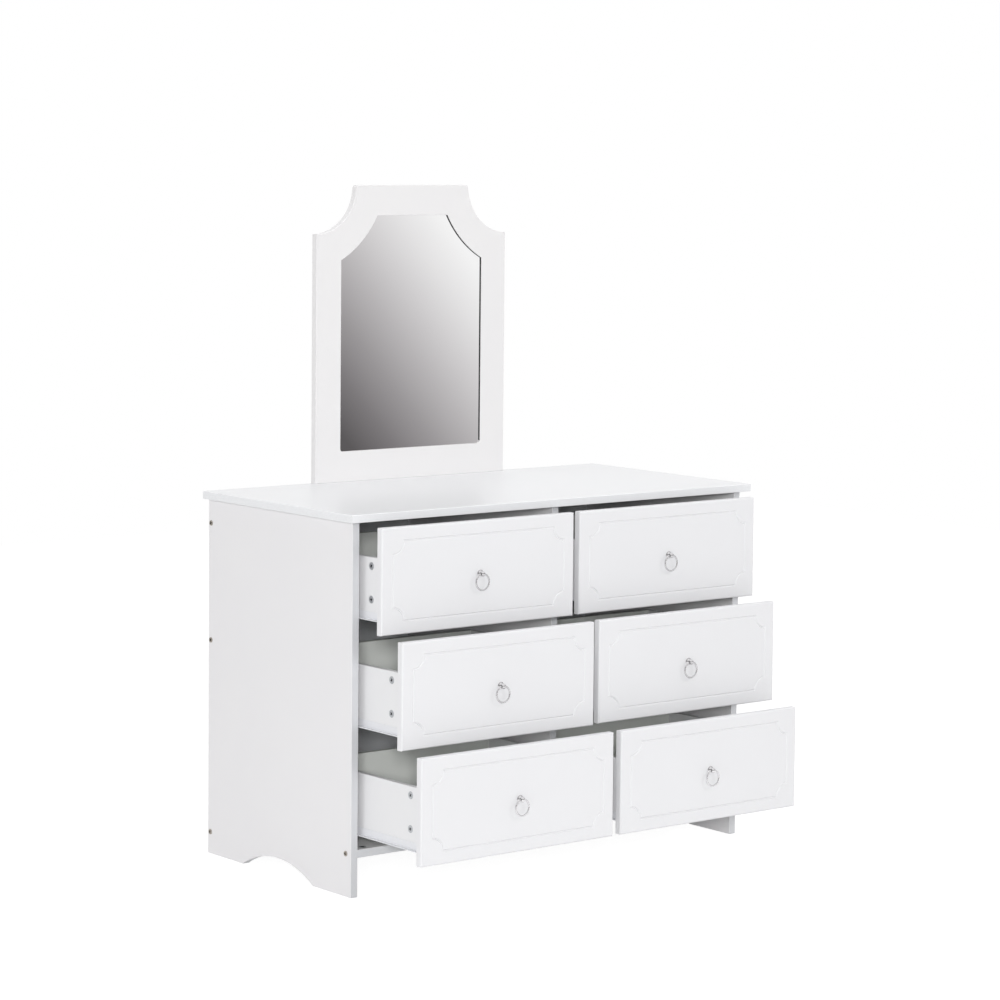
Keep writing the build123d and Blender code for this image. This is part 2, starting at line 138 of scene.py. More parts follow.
@dataclass(frozen=True)
class Finish:
    """One real surface: its colour, gloss and fine texture.

    Attributes:
        name: the material's name.
        colour: main colour, sRGB hex.
        second: colour that the first one drifts towards, sRGB hex.
        roughness: middle roughness.
        drift: how far roughness moves either way.
        metallic: 1 for bare metal.
        ior: index of refraction of a non-metal.
        grain_mm: size of the fine surface texture.
        grain_height_mm: height of that texture.
        cloud_mm: size of the slow colour drift.
    """

    name: str
    colour: str
    second: str
    roughness: float
    drift: float = 0.04
    metallic: float = 0.0
    ior: float = 1.5
    grain_mm: float = 1.0
    grain_height_mm: float = 0.01
    cloud_mm: float = 160.0

    def build(self) -> Material:
        """Make the node material of this finish, or return it if it is there.

        Returns:
            The finished material.
        """
        known = bpy.data.materials.get(self.name)
        if known is not None:
            return known
        material = bpy.data.materials.new(self.name)
        material.use_nodes = True
        shader = material.node_tree.nodes["Principled BSDF"]
        shader.inputs["Metallic"].default_value = self.metallic
        if not self.metallic:
            shader.inputs["IOR"].default_value = self.ior
        self.paint(material.node_tree, shader)
        return material

    def paint(self, tree: NodeTree, shader: Node) -> None:
        """Lay the colour drift, the gloss drift and the fine texture.

        Args:
            tree: the material's tree.
            shader: its main shader.
        """
        place = add_node(tree, "ShaderNodeTexCoord").outputs["Object"]
        cloud, grain = (
            add_node(tree, "ShaderNodeTexNoise", {"Vector": place, "Scale": 1 / (size * MM), **kind}).outputs["Fac"]
            for size, kind in ((self.cloud_mm, CLOUD_NOISE), (self.grain_mm, GRAIN_NOISE))
        )
        colour = add_node(tree, "ShaderNodeMix", {"Factor": cloud}, data_type="RGBA")
        for socket in colour.inputs:
            if socket.type == "RGBA" and socket.name in "AB":
                socket.default_value = linear(self.colour if socket.name == "A" else self.second)
        tree.links.new(next(s for s in colour.outputs if s.type == "RGBA"), shader.inputs["Base Color"])
        gloss = ranged(tree, grain, GRAIN_SPAN, (self.roughness - self.drift, self.roughness + self.drift))
        tree.links.new(gloss, shader.inputs["Roughness"])
        bump = add_node(tree, "ShaderNodeBump", {"Height": grain, "Distance": self.grain_height_mm * MM})
        tree.links.new(bump.outputs["Normal"], shader.inputs["Normal"])


# Vinyl foil pressed over routed board: an even, soft sheen with the faintest orange peel.
PRESSED_FOIL = Finish("pressed_vinyl_foil", "#E3E3E5", "#E0E0E2", 0.34, 0.03, grain_mm=1.6, grain_height_mm=0.006)
# The same foil on the mirror's frame, from a slightly warmer batch.
FRAME_FOIL = replace(PRESSED_FOIL, name="warm_pressed_vinyl_foil", colour="#E2E1E1", second="#DFDEDF")
# Melamine paper hot-pressed on particle board: a dry satin with a fine pearl stipple.
MELAMINE = Finish("pressed_melamine_paper", "#E5E4E5", "#E2E1E3", 0.42, 0.05, grain_mm=0.9, grain_height_mm=0.012)
# The same melamine pressed glossier on the top, which takes the wear, and painted lighter there for the light that
# falls on the top from above.
TOP_MELAMINE_PAINTED_LIGHT = Finish("gloss_melamine_painted_light", "#EDEDEF", "#EAEBED", 0.3, 0.03, grain_mm=1.2, grain_height_mm=0.004)
# Edge band trimmed by a cutter: cooler and a little glossier than the faces, and painted darker for the shade that
# falls on the cabinet's front edges beside the pulled-out drawers.
EDGE_BAND_PAINTED_SHADE = Finish("trimmed_edge_band_painted_shade", "#D0D1D4", "#CCCDD0", 0.34, 0.05, grain_mm=1.4, grain_height_mm=0.01)
# The top's own band is rolled thicker and buffed; it runs on from the face with hardly a step in tone because it
# carries none of the painted shade of the other front edges.
TOP_BAND = Finish("buffed_edge_band", "#E6E7E9", "#E2E3E5", 0.28, 0.04, grain_mm=1.4, grain_height_mm=0.008)
# Paper foil wrapped on thin drawer sides: flatter and slightly greyer than the fronts.
WRAPPED_FOIL = Finish("wrapped_paper_foil", "#E3E3E4", "#E0E0E2", 0.45, 0.04, grain_mm=1.1, grain_height_mm=0.01)
# The same foil inside the drawer, painted pale grey-green for the greenish shade that fills the drawer boxes.
LINING_FOIL_PAINTED_TINT = Finish("lining_foil_painted_green_shade", "#E6E8E4", "#DEE1DD", 0.5, 0.05, grain_mm=1.1, grain_height_mm=0.01)
# Hardboard rolled with one coat of white lacquer: its fibre lumps still show as a soft mottle, and its white is
# painted cool blue for the bluish shade inside the cabinet.
HARDBOARD_PAINTED_COOL_SHADE = Finish(
    "lacquered_hardboard_painted_cool_shade", "#EDEFF2", "#E6E8EB", 0.5, 0.06, grain_mm=2.2, grain_height_mm=0.03, cloud_mm=60.0
)
# Wet-pressed wood fibre: brown, matt and mottled, with a screen-like texture.
RAW_HARDBOARD = Finish(
    "pressed_wood_fibre", "#8A6848", "#6E4F33", 0.75, 0.08, grain_mm=1.8, grain_height_mm=0.08, cloud_mm=14.0
)
# Charcoal felt laid as painted shade along the glass: matt, fuzzy and nearly black, standing in for the shadow in the
# slot between the frame's lip and the glass.
PAINTED_SHADE_FELT = Finish("painted_shade_felt", "#3A393B", "#2C2B2D", 0.9, 0.05, grain_mm=0.5, grain_height_mm=0.08, cloud_mm=20.0)
# Powder coat baked on steel: even white with a shallow orange peel.
POWDER_COAT = Finish("baked_powder_coat", "#E1E2E5", "#DBDCE0", 0.38, 0.05, grain_mm=1.3, grain_height_mm=0.02)
# Turned nylon: milky and waxy, slightly yellow beside the white steel.
NYLON = Finish("moulded_nylon", "#E4E2DA", "#D9D7CF", 0.42, 0.06, ior=1.53, grain_mm=0.8, grain_height_mm=0.008)
# Bright zinc plate: cool grey metal with a cloudy passivated bloom.
ZINC = Finish(
    "zinc_plated_steel", "#AEB0B4", "#8E9197", 0.34, 0.08,
    metallic=1.0, grain_mm=0.6, grain_height_mm=0.01, cloud_mm=7.0,
)
# Die-cast zinc cams, tumbled and unplated: pale and duller than the plated steel.
CAST_ZINC = Finish(
    "tumbled_cast_zinc", "#CACCCF", "#AEB0B4", 0.45, 0.08,
    metallic=1.0, grain_mm=0.8, grain_height_mm=0.02, cloud_mm=5.0,
)
# Zinc plate passivated yellow, as on the long side screws: a warm grey metal, dull from handling.
YELLOW_ZINC = Finish(
    "yellow_passivated_zinc", "#BDB6AB", "#99928A", 0.38, 0.08,
    metallic=1.0, grain_mm=0.6, grain_height_mm=0.01, cloud_mm=6.0,
)
# Painted shade in the drive sockets: almost black and matt, with no shine in the corners, standing in for the shade
# that falls into the recesses.
SOCKET_PAINTED_SHADE = Finish(
    "socket_painted_shade", "#2E2B2A", "#1F1D1C", 0.85, 0.08, grain_mm=0.3, grain_height_mm=0.04, cloud_mm=4.0
)
# Nickel-chrome over polished zinc: near-white mirror metal with faint polishing haze.
CHROME = Finish(
    "nickel_chrome_plate", "#E4E3E4", "#D6D5D7", 0.07, 0.03,
    metallic=1.0, grain_mm=0.5, grain_height_mm=0.002, cloud_mm=9.0,
)
# Silver behind thin clear glass: sharp neutral reflections with a trace of wiped dust.
SILVERED_GLASS = Finish(
    "back_silvered_glass", "#F8F8F8", "#F5F5F5", 0.012, 0.006, metallic=1.0, grain_mm=3.0, grain_height_mm=0.0
)


# ------------------------------------------------------------------ outlines
def ccw(points: Sequence[Point]) -> list[Point]:
    """Return the loop running counter-clockwise."""
    turn = sum(a[0] * b[1] - b[0] * a[1] for a, b in zip(points, [*points[1:], points[0]]))
    return list(points) if turn > 0 else list(reversed(points))


def grown(points: Sequence[Point], distance: float) -> list[Point]:
    """Move a counter-clockwise loop outwards by a distance, with mitred corners.

    Args:
        points: the loop.
        distance: how far to move; negative moves inwards.

    Returns:
        The moved loop, point for point.
    """
    moved = []
    count = len(points)
    for i, (u, v) in enumerate(points):
        before, after = points[i - 1], points[(i + 1) % count]
        first = Vector((v - before[1], before[0] - u)).normalized()
        second = Vector((after[1] - v, u - after[0])).normalized()
        shift = (first + second) * (distance / (1 + first.dot(second)))
        moved.append((u + shift.x, v + shift.y))
    return moved


def arc(centre: Point, radius: float, start: float, end: float, steps: int) -> list[Point]:
    """Points along an arc, both ends included.

    Args:
        centre: the arc's centre.
        radius: its radius.
        start: first angle in radians.
        end: last angle in radians.
        steps: number of segments.

    Returns:
        The points in order.
    """
    angles = (start + (end - start) * i / steps for i in range(steps + 1))
    return [(centre[0] + radius * math.cos(a), centre[1] + radius * math.sin(a)) for a in angles]


def softened(points: Sequence[Point], radii: dict[int, float], steps: int = 4) -> list[Point]:
    """Round chosen corners of a loop.

    Args:
        points: the loop.
        radii: point number to corner radius.
        steps: segments in each rounded corner.

    Returns:
        The loop with arcs in place of those corners.
    """
    loop: list[Point] = []
    for i, point in enumerate(points):
        if i not in radii:
            loop.append(point)
            continue
        here = Vector(point)
        back = (Vector(points[i - 1]) - here).normalized()
        on = (Vector(points[(i + 1) % len(points)]) - here).normalized()
        half = back.angle(on) / 2
        reach = radii[i] / math.tan(half)
        middle = here + (back + on).normalized() * (radii[i] / math.sin(half))
        first, last = here + back * reach - middle, here + on * reach - middle
        sweep = first.angle_signed(last)
        for k in range(steps + 1):
            loop.append(tuple(middle + Matrix.Rotation(-sweep * k / steps, 2) @ first))
    return loop


def rectangle(low: Point, high: Point) -> list[Point]:
    """Counter-clockwise rectangle between two corners."""
    return [(low[0], low[1]), (high[0], low[1]), (high[0], high[1]), (low[0], high[1])]


# -------------------------------------------------------------------- meshes
# Least weight of a face in a shared normal, and the number of sides of round heads, pockets and wheels.
SMALLEST_AREA = 1e-12
HEAD_SIDES = 28


def lend_normals(data: Mesh, limit: float) -> None:
    """Let rounded edges take the normal of the flat face they run into.

    Args:
        data: the mesh, with flat faces marked flat.
        limit: cosine of the largest angle that is smoothed over.
    """
    flats: dict[int, list[Vector]] = {}
    rounds: dict[int, list[Vector]] = {}
    for face in data.polygons:
        for vert in face.vertices:
            if face.use_smooth:
                rounds.setdefault(vert, []).append(face.normal * max(face.area, SMALLEST_AREA))
            else:
                flats.setdefault(vert, []).append(face.normal.copy())
    corners = []
    for face in data.polygons:
        for vert in face.vertices:
            close = [n for n in flats.get(vert, ()) if n.dot(face.normal) > limit]
            if close or not face.use_smooth:
                corners.append(close[0] if face.use_smooth else face.normal.copy())
                continue
            around = [n for n in rounds[vert] if n.normalized().dot(face.normal) > limit]
            corners.append(sum(around, Vector()).normalized())
    data.normals_split_custom_set(corners)


class Facing(Enum):
    """How an outline (u, v) and a depth w lie in the frame."""

    UPRIGHT = (0, 2, 1)
    SIDEWAYS = (1, 2, 0)
    LEVEL = (0, 1, 2)

    def place(self, u: float, v: float, w: float) -> Vector:
        """Give the frame position of an outline point at a depth."""
        spot = Vector((0.0, 0.0, 0.0))
        for axis, value in zip(self.value, (u, v, w)):
            spot[axis] = value
        return spot


@dataclass
class MeshBuild:
    """A mesh under construction, with helpers for loops, walls and fills.

    Attributes:
        facing: how outlines lie in the frame.
        mesh: the faces made so far.
    """

    facing: Facing
    mesh: bmesh.types.BMesh = field(default_factory=bmesh.new)

    def loop(self, points: Iterable[Point], depth: float) -> list[bmesh.types.BMVert]:
        """Add the points of a loop at one depth."""
        return [self.mesh.verts.new(self.facing.place(u, v, depth)) for u, v in points]

    def wall(self, loops: Sequence[list], finish: int = 0, smooth: bool = True) -> None:
        """Join successive loops of equal length by quads.

        Args:
            loops: the loops, in order.
            finish: material number of the faces.
            smooth: whether the faces are shaded smooth.
        """
        for one, two in zip(loops, loops[1:]):
            for i in range(len(one)):
                j = (i + 1) % len(one)
                face = self.mesh.faces.new((one[i], one[j], two[j], two[i]))
                face.smooth = smooth
                face.material_index = finish

    def fill(self, outer: list, holes: Sequence[list] = (), finish: int = 0) -> None:
        """Close the flat region between an outer loop and its holes.

        Args:
            outer: the outer loop.
            holes: loops left open inside it.
            finish: material number of the faces.
        """
        axes = self.facing.value[:2]
        loops = [outer, *holes]
        flat = [[Vector((v.co[axes[0]], v.co[axes[1]], 0.0)) for v in loop] for loop in loops]
        verts = [v for loop in loops for v in loop]
        for corners in tessellate_polygon(flat):
            face = self.mesh.faces.new([verts[i] for i in corners])
            face.smooth = False
            face.material_index = finish

    def finish(self, name: str, finishes: Sequence[Finish], crease_deg: float = 38.0, lend: bool = True) -> Object:
        """Turn the build into an object that sits at the origin.

        Args:
            name: the piece's name.
            finishes: its finishes, by material number.
            crease_deg: edges sharper than this stay crisp.
            lend: whether flat faces lend their normals to the rounded edges that meet them.

        Returns:
            The new object, linked to the scene.
        """
        bmesh.ops.recalc_face_normals(self.mesh, faces=self.mesh.faces)
        for edge in self.mesh.edges:
            edge.smooth = edge.calc_face_angle(0.0) < math.radians(crease_deg)
        data = bpy.data.meshes.new(name)
        self.mesh.to_mesh(data)
        self.mesh.free()
        if lend:
            lend_normals(data, math.cos(math.radians(crease_deg)))
        for finish in finishes:
            data.materials.append(finish.build())
        return linked(name, data)


def eased(radius: float, steps: int) -> list[Point]:
    """Inset and depth of each loop round a quarter-round edge, face first."""
    turns = [QUARTER * i / steps for i in range(steps + 1)]
    return [(radius * (1 - math.sin(a)), radius * (1 - math.cos(a))) for a in turns]


@dataclass
class Board:
    """A flat board with eased edges, holes and shallow recesses.

    Attributes:
        facing: how its outline lies.
        outline: its outline loop.
        near: depth of its first face.
        far: depth of its second face.
        ease: radius of its edges.
        ease_steps: segments round each edge.
        holes: loops cut right through.
        recesses: loop and depth of pockets in the first face.
        rebate: loop and depth of a wide pocket in the second face, round the only hole.
        edge_finish: material number of the straight part of its edges.
        recess_finish: material number of the pockets' walls and floors.
    """

    facing: Facing
    outline: list[Point]
    near: float
    far: float
    ease: float = 0.6 * MM
    ease_steps: int = 3
    holes: list[list[Point]] = field(default_factory=list)
    recesses: list[tuple[list[Point], float]] = field(default_factory=list)
    rebate: tuple[list[Point], float] | None = None
    edge_finish: int = 1
    recess_finish: int = 0

    @property
    def way(self) -> float:
        """1 if depth grows from the first face to the second, else -1."""
        return 1.0 if self.far > self.near else -1.0

    def rim(self, build: MeshBuild, loop: list[Point], side: float, far: float | None = None) -> list[list]:
        """Add the loops of an outline from the first face to the second.

        Args:
            build: the mesh being made.
            loop: the outline or hole.
            side: -1 for an outer outline, 1 for a hole.
            far: depth to stop at without easing, instead of the second face.

        Returns:
            The loops, first face first.
        """
        steps = eased(self.ease, self.ease_steps)
        loops = [build.loop(grown(loop, side * inset), self.near + self.way * down) for inset, down in steps]
        if far is not None:
            return [*loops, build.loop(loop, far)]
        steps.reverse()
        return loops + [build.loop(grown(loop, side * inset), self.far - self.way * down) for inset, down in steps]

    def dress_rim(self, build: MeshBuild, loops: list[list]) -> None:
        """Join a rim's loops, with the edge finish on its straight wall."""
        turn = self.ease_steps + 1
        build.wall(loops[:turn])
        build.wall(loops[turn - 1 : turn + 1], self.edge_finish)
        build.wall(loops[turn:])

    def make(self, name: str, finishes: Sequence[Finish], lend: bool = True) -> Object:
        """Build the board.

        Args:
            name: the piece's name.
            finishes: finish of the faces, then that of the edges or pockets.
            lend: whether its faces lend their normals to its rounded edges.

        Returns:
            The board's object.
        """
        build = MeshBuild(self.facing)
        outer = self.rim(build, ccw(self.outline), -1)
        self.dress_rim(build, outer)
        near_holes, far_holes = [], []
        for hole in map(ccw, self.holes):
            stop = self.near + self.way * self.rebate[1] if self.rebate else None
            loops = self.rim(build, hole, 1, stop)
            self.dress_rim(build, loops)
            near_holes.append(loops[0])
            if self.rebate:
                pocket = ccw(self.rebate[0])
                ledge, mouth = build.loop(pocket, stop), build.loop(pocket, self.far)
                build.fill(ledge, [loops[-1]])
                build.wall([ledge, mouth], 0, False)
                far_holes.append(mouth)
            else:
                far_holes.append(loops[-1])
        for pocket, depth in self.recesses:
            mouth = build.loop(ccw(pocket), self.near)
            floor = build.loop(ccw(pocket), self.near + self.way * depth)
            build.wall([mouth, floor], self.recess_finish, False)
            build.fill(floor, (), self.recess_finish)
            near_holes.append(mouth)
        build.fill(outer[0], near_holes)
        build.fill(outer[-1], far_holes)
        return build.finish(name, finishes[: 1 + max(self.edge_finish, self.recess_finish)], lend=lend)


def turned(
    build: MeshBuild,
    profile: Sequence[Point],
    spin: Callable[[float, float, float], Vector],
    sides: int,
    closed: bool = False,
) -> None:
    """Spin a profile into a round piece.

    Args:
        build: the mesh being made.
        profile: (radius, height) points; a radius of zero closes the piece.
        spin: gives a position from a radius, a height and an angle.
        sides: number of sides.
        closed: whether the profile is a loop, as on a ring.
    """
    loops = []
    for radius, height in profile:
        if radius == 0 and not closed:
            loops.append([build.mesh.verts.new(spin(0.0, height, 0.0))])
            continue
        loops.append([build.mesh.verts.new(spin(radius, height, math.tau * i / sides)) for i in range(sides)])
    if closed:
        loops.append(loops[0])
    for one, two in zip(loops, loops[1:]):
        for i in range(sides):
            j = (i + 1) % sides
            corners = [one[i % len(one)], one[j % len(one)], two[j % len(two)], two[i % len(two)]]
            unique = list(dict.fromkeys(corners))
            build.mesh.faces.new(unique).smooth = True


def about(centre: Vector, axis: str) -> Callable[[float, float, float], Vector]:
    """Give a spin function round an axis through a point.

    Args:
        centre: a point on the axis.
        axis: "x", "y" or "z".

    Returns:
        A function of radius, height along the axis and angle.
    """
    first, second, along = {"x": (1, 2, 0), "y": (0, 2, 1), "z": (0, 1, 2)}[axis]

    def spin(radius: float, height: float, angle: float) -> Vector:
        """Position at a radius, height and angle."""
        spot = centre.copy()
        spot[first] += radius * math.cos(angle)
        spot[second] += radius * math.sin(angle)
        spot[along] += height
        return spot

    return spin


def cross(arm: float, width: float) -> list[Point]:
    """Outline of a cross driver recess, centred on the origin."""
    a, w = arm / 2, width / 2
    return [
        (-w, -a), (w, -a), (w, -w), (a, -w), (a, w), (w, w), (w, a), (-w, a), (-w, w), (-a, w), (-a, -w), (-w, -w),
    ]


# ---------------------------------------------------------------- fasteners
@dataclass(frozen=True)
class Scatter:
    """Geometry nodes that set one turned head on every point of a mesh.

    Attributes:
        name: the tree's name.
        seed: fixed seed of the heads' turns.
        turn: largest turn about the head's own axis.
    """

    name: str = "heads_on_points"
    seed: int = 7
    turn: float = math.tau

    def tree(self) -> tuple[NodeTree, dict[str, str]]:
        """Build the tree.

        Returns:
            The tree, and each input's name to its identifier.
        """
        tree = bpy.data.node_groups.new(self.name, "GeometryNodeTree")
        kinds = {
            "Points": "NodeSocketGeometry",
            "Head": "NodeSocketObject",
            "Turn": "NodeSocketFloat",
            "Seed": "NodeSocketInt",
            "Plating": "NodeSocketMaterial",
        }
        keys = {
            name: tree.interface.new_socket(name=name, in_out="INPUT", socket_type=kind).identifier
            for name, kind in kinds.items()
        }
        tree.interface.new_socket(name="Heads", in_out="OUTPUT", socket_type="NodeSocketGeometry")
        given = add_node(tree, "NodeGroupInput").outputs
        head = add_node(tree, "GeometryNodeObjectInfo", {"Object": given["Head"]})
        chance = add_node(tree, "FunctionNodeRandomValue", {"Seed": given["Seed"]}, data_type="FLOAT")
        drawn = next(socket for socket in chance.outputs if socket.enabled)
        angle = maths(tree, "MULTIPLY", drawn, given["Turn"])
        own = add_node(tree, "ShaderNodeCombineXYZ", {"Z": angle}).outputs["Vector"]
        spin = add_node(tree, "FunctionNodeEulerToRotation", {0: own}).outputs[0]
        stored = add_node(tree, "GeometryNodeInputNamedAttribute", {"Name": "aim"}, data_type="FLOAT_VECTOR")
        aim = add_node(tree, "FunctionNodeEulerToRotation", {0: stored.outputs["Attribute"]}).outputs[0]
        both = add_node(
            tree, "FunctionNodeRotateRotation", {"Rotation": aim, "Rotate By": spin}, rotation_space="LOCAL"
        )
        heads = add_node(
            tree,
            "GeometryNodeInstanceOnPoints",
            {"Points": given["Points"], "Instance": head.outputs["Geometry"], "Rotation": both.outputs["Rotation"]},
        )
        real = add_node(tree, "GeometryNodeRealizeInstances", {"Geometry": heads.outputs["Instances"]})
        # Only faces of material 0 take the plating; the recesses keep their painted shade.
        number = add_node(tree, "GeometryNodeInputMaterialIndex").outputs[0]
        plated = maths(tree, "LESS_THAN", number, 0.5)
        dressed = add_node(
            tree,
            "GeometryNodeSetMaterial",
            {"Geometry": real.outputs["Geometry"], "Selection": plated, "Material": given["Plating"]},
        )
        add_node(tree, "NodeGroupOutput", {"Heads": dressed.outputs["Geometry"]})
        return tree, keys

    def lay(self, name: str, head: Object, sets: dict, finish: Finish) -> Object:
        """Set a head on every spot and return one plain mesh.

        Args:
            name: the piece's name.
            head: template whose axis is +Z; it is left in place.
            sets: aim (Euler angles) to the spots that share it.
            finish: finish of the heads.

        Returns:
            The new piece.
        """
        placed = [(tuple(spot), aim) for aim, spots in sets.items() for spot in spots]
        points = bpy.data.meshes.new(name + "_points")
        points.from_pydata([spot for spot, _ in placed], [], [])
        aims = points.attributes.new("aim", "FLOAT_VECTOR", "POINT")
        aims.data.foreach_set("vector", [angle for _, aim in placed for angle in aim])
        carrier = linked(name + "_carrier", points)
        tree, keys = self.tree()
        modifier = carrier.modifiers.new(self.name, "NODES")
        modifier.node_group = tree
        values = {"Head": head, "Turn": self.turn, "Seed": self.seed, "Plating": finish.build()}
        for key, value in values.items():
            modifier[keys[key]] = value
        graph = bpy.context.evaluated_depsgraph_get()
        data = bpy.data.meshes.new_from_object(carrier.evaluated_get(graph))
        data.name = name
        carrier.modifiers.clear()
        bpy.data.objects.remove(carrier)
        return linked(name, data)


@dataclass(frozen=True)
class HeadShape:
    """A fastener's visible head, modelled along +Z from the surface.

    Attributes:
        radius: head radius.
        height: how far it stands proud.
        depth: how far it runs below the surface.
        arm: length of the cross recess.
        width: width of its slots.
        sink: depth of the recess.
        ease: radius of the rim.
    """

    radius: float
    height: float
    depth: float
    arm: float
    width: float
    sink: float
    ease: float

    def template(self, name: str, finish: Finish) -> Object:
        """Build the head once, at the origin.

        Args:
            name: object name.
            finish: its finish.

        Returns:
            The template object, to be removed once it is scattered.
        """
        rim = arc((0.0, 0.0), self.radius, 0.0, math.tau, HEAD_SIDES)[:-1]
        board = Board(
            Facing.LEVEL, rim, self.height, -self.depth, self.ease,
            recesses=[(cross(self.arm, self.width), self.sink)], edge_finish=0, recess_finish=1,
        )
        # The cross recess takes the sockets' painted shade as its second finish.
        return board.make(name, [finish, SOCKET_PAINTED_SHADE], lend=False)


SIDE_SCREW = HeadShape(5.5 * MM, 1.5 * MM, 0.4 * MM, 7.2 * MM, 2.0 * MM, 1.4 * MM, 0.7 * MM)
PLATE_SCREW = HeadShape(3.6 * MM, 2.0 * MM, 0.2 * MM, 4.0 * MM, 1.0 * MM, 1.0 * MM, 0.9 * MM)
CAM = HeadShape(7.5 * MM, 0.4 * MM, 3.0 * MM, 7.0 * MM, 1.9 * MM, 2.2 * MM, 0.3 * MM)

# Space round a cam in its pocket, and the turns that aim a head's +Z along an axis.
CAM_ROOM = 0.1 * MM
AIM_LEFT = (0.0, -QUARTER, 0.0)
AIM_RIGHT = (0.0, QUARTER, 0.0)
AIM_UP = (0.0, 0.0, 0.0)
AIM_BACK = (-QUARTER, 0.0, 0.0)
ROWS = ("upper", "middle", "lower")


def cam_pocket(centre: Point) -> tuple[list[Point], float]:
    """Outline and depth of the round pocket that a cam sits in."""
    return arc(centre, CAM.radius + CAM_ROOM, 0.0, math.tau, HEAD_SIDES)[:-1], CAM.depth + CAM_ROOM


@dataclass(frozen=True)
class Wheel:
    """A nylon runner wheel on a riveted pin.

    Attributes:
        radius: wheel radius.
        width: wheel width.
        groove: depth of the shallow groove round its rim.
        land: where the groove starts, as a share of the width.
        pin: radius of the pin's rivet head.
        bevel: how far the sides are cut back at the rim.
        step: depth of each step of that cut, and of the dished hub.
        nib: how far the middle of the cut lies below the rim.
        hub: radius of the dish round the pin.
    """

    radius: float = 6.0 * MM
    width: float = 6.0 * MM
    groove: float = 0.35 * MM
    land: float = 0.4
    pin: float = 1.5 * MM
    bevel: float = 0.8 * MM
    step: float = 0.5 * MM
    nib: float = 0.1 * MM
    hub: float = 3.2 * MM

    def template(self, name: str) -> Object:
        """Build a wheel along +Z, from its inner face at the origin."""
        build = MeshBuild(Facing.LEVEL)
        r, w, step = self.radius, self.width, self.step
        inner = [(r - self.bevel, 0.0), (r - self.nib, step), (r, 2 * step), (r - self.groove, self.land * w)]
        outer = [(u, w - v) for u, v in reversed(inner)]
        dish = [(self.hub, w), (self.hub - 2 * self.nib, w - step), (self.pin, w - step)]
        profile = [(self.pin, 0.0), *inner, *outer, *dish]
        turned(build, profile, about(Vector(), "z"), HEAD_SIDES, closed=True)
        return build.finish(name, [NYLON], lend=False)


# -------------------------------------------------------------- registration
def settle(piece: Object, body: str, slot: str, *stands_for: str) -> Object:
    """Hand a finished piece to the frame and report it.

    Args:
        piece: the finished object.
        body: the body it moves with.
        slot: name of the material slot the piece belongs to; not used.
        stands_for: frame nodes it is shown instead of.

    Returns:
        The piece.
    """
    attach(piece, body)
    if stands_for:
        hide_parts(*stands_for)
    log.info("%s on %s: %d faces", piece.name, body, len(piece.data.polygons))
    return piece


def dress(node: str, finish: Finish) -> None:
    """Give a carried-over frame node its finish."""
    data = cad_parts[node].data
    data.materials.clear()
    data.materials.append(finish.build())
    log.info("%s dressed in %s", node, finish.name)


def discard(*objects: Object) -> None:
    """Remove template objects that were only copied from."""
    for obj in objects:
        bpy.data.objects.remove(obj)


# ------------------------------------------------------------------- carcass
# Distance of the bottom's cams from its ends, and of cams and front screws from the front edge.
CAM_INSET = 24.0 * MM
FRONT_INSET = 17.0 * MM


def bottom_cams() -> list[Point]:
    """X and Y of the two cams in the bottom board."""
    low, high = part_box("bottom_panel")
    return [(x, low.y + FRONT_INSET) for x in (low.x + CAM_INSET, high.x - CAM_INSET)]


@dataclass
class Carcass:
    """The cabinet's boards.

    Attributes:
        foot: length of each foot along the side's lower edge.
        arch: height of the arch between the feet.
        ease: radius of the boards' cut edges.
        top_ease: radius of the top's edges.
        bend_steps: segments along the arch.
    """

    foot: float = 128.0 * MM
    arch: float = 34.0 * MM
    ease: float = 0.6 * MM
    top_ease: float = 1.2 * MM
    bend_steps: int = 24

    def side(self, name: str) -> None:
        """Build one side board with its arch."""
        low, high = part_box(name)
        start, end = low.y + self.foot, high.y - self.foot
        half = (end - start) / 2
        radius = (half * half + self.arch * self.arch) / (2 * self.arch)
        spread = math.asin(half / radius)
        middle = ((start + end) / 2, self.arch - radius)
        bend = arc(middle, radius, QUARTER + spread, QUARTER - spread, self.bend_steps)
        outline = [(low.y, 0.0), *bend, (high.y, 0.0), (high.y, high.z), (low.y, high.z)]
        board = Board(Facing.SIDEWAYS, outline, low.x, high.x, self.ease)
        settle(board.make(name + "_board", [MELAMINE, EDGE_BAND_PAINTED_SHADE]), "carcass", "white_board", name)

    def flat(
        self,
        name: str,
        facing: Facing,
        face: Finish = MELAMINE,
        band: Finish = EDGE_BAND_PAINTED_SHADE,
        ease: float | None = None,
        cams: Sequence[Point] = (),
    ) -> None:
        """Build one plain board in the space of its node.

        Args:
            name: the node it stands for.
            facing: how its outline lies.
            face: finish of its faces.
            band: finish of its edges.
            ease: radius of its edges, if it is not the usual one.
            cams: centres of the cam pockets in its upper face.
        """
        low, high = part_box(name)
        u, v, w = facing.value
        outline = rectangle((low[u], low[v]), (high[u], high[v]))
        board = Board(facing, outline, high[w], low[w], ease or self.ease, recesses=[cam_pocket(c) for c in cams])
        settle(board.make(name + "_board", [face, band]), "carcass", "white_board", name)

    def build(self) -> None:
        """Build and dress every board of the cabinet."""
        self.side("left_side_panel")
        self.side("right_side_panel")
        self.flat("top_panel", Facing.LEVEL, TOP_MELAMINE_PAINTED_LIGHT, TOP_BAND, self.top_ease)
        self.flat("bottom_panel", Facing.LEVEL, cams=bottom_cams())
        self.flat("centre_divider", Facing.SIDEWAYS)
        dress("back_panel", HARDBOARD_PAINTED_COOL_SHADE)
        dress("back_rails", MELAMINE)


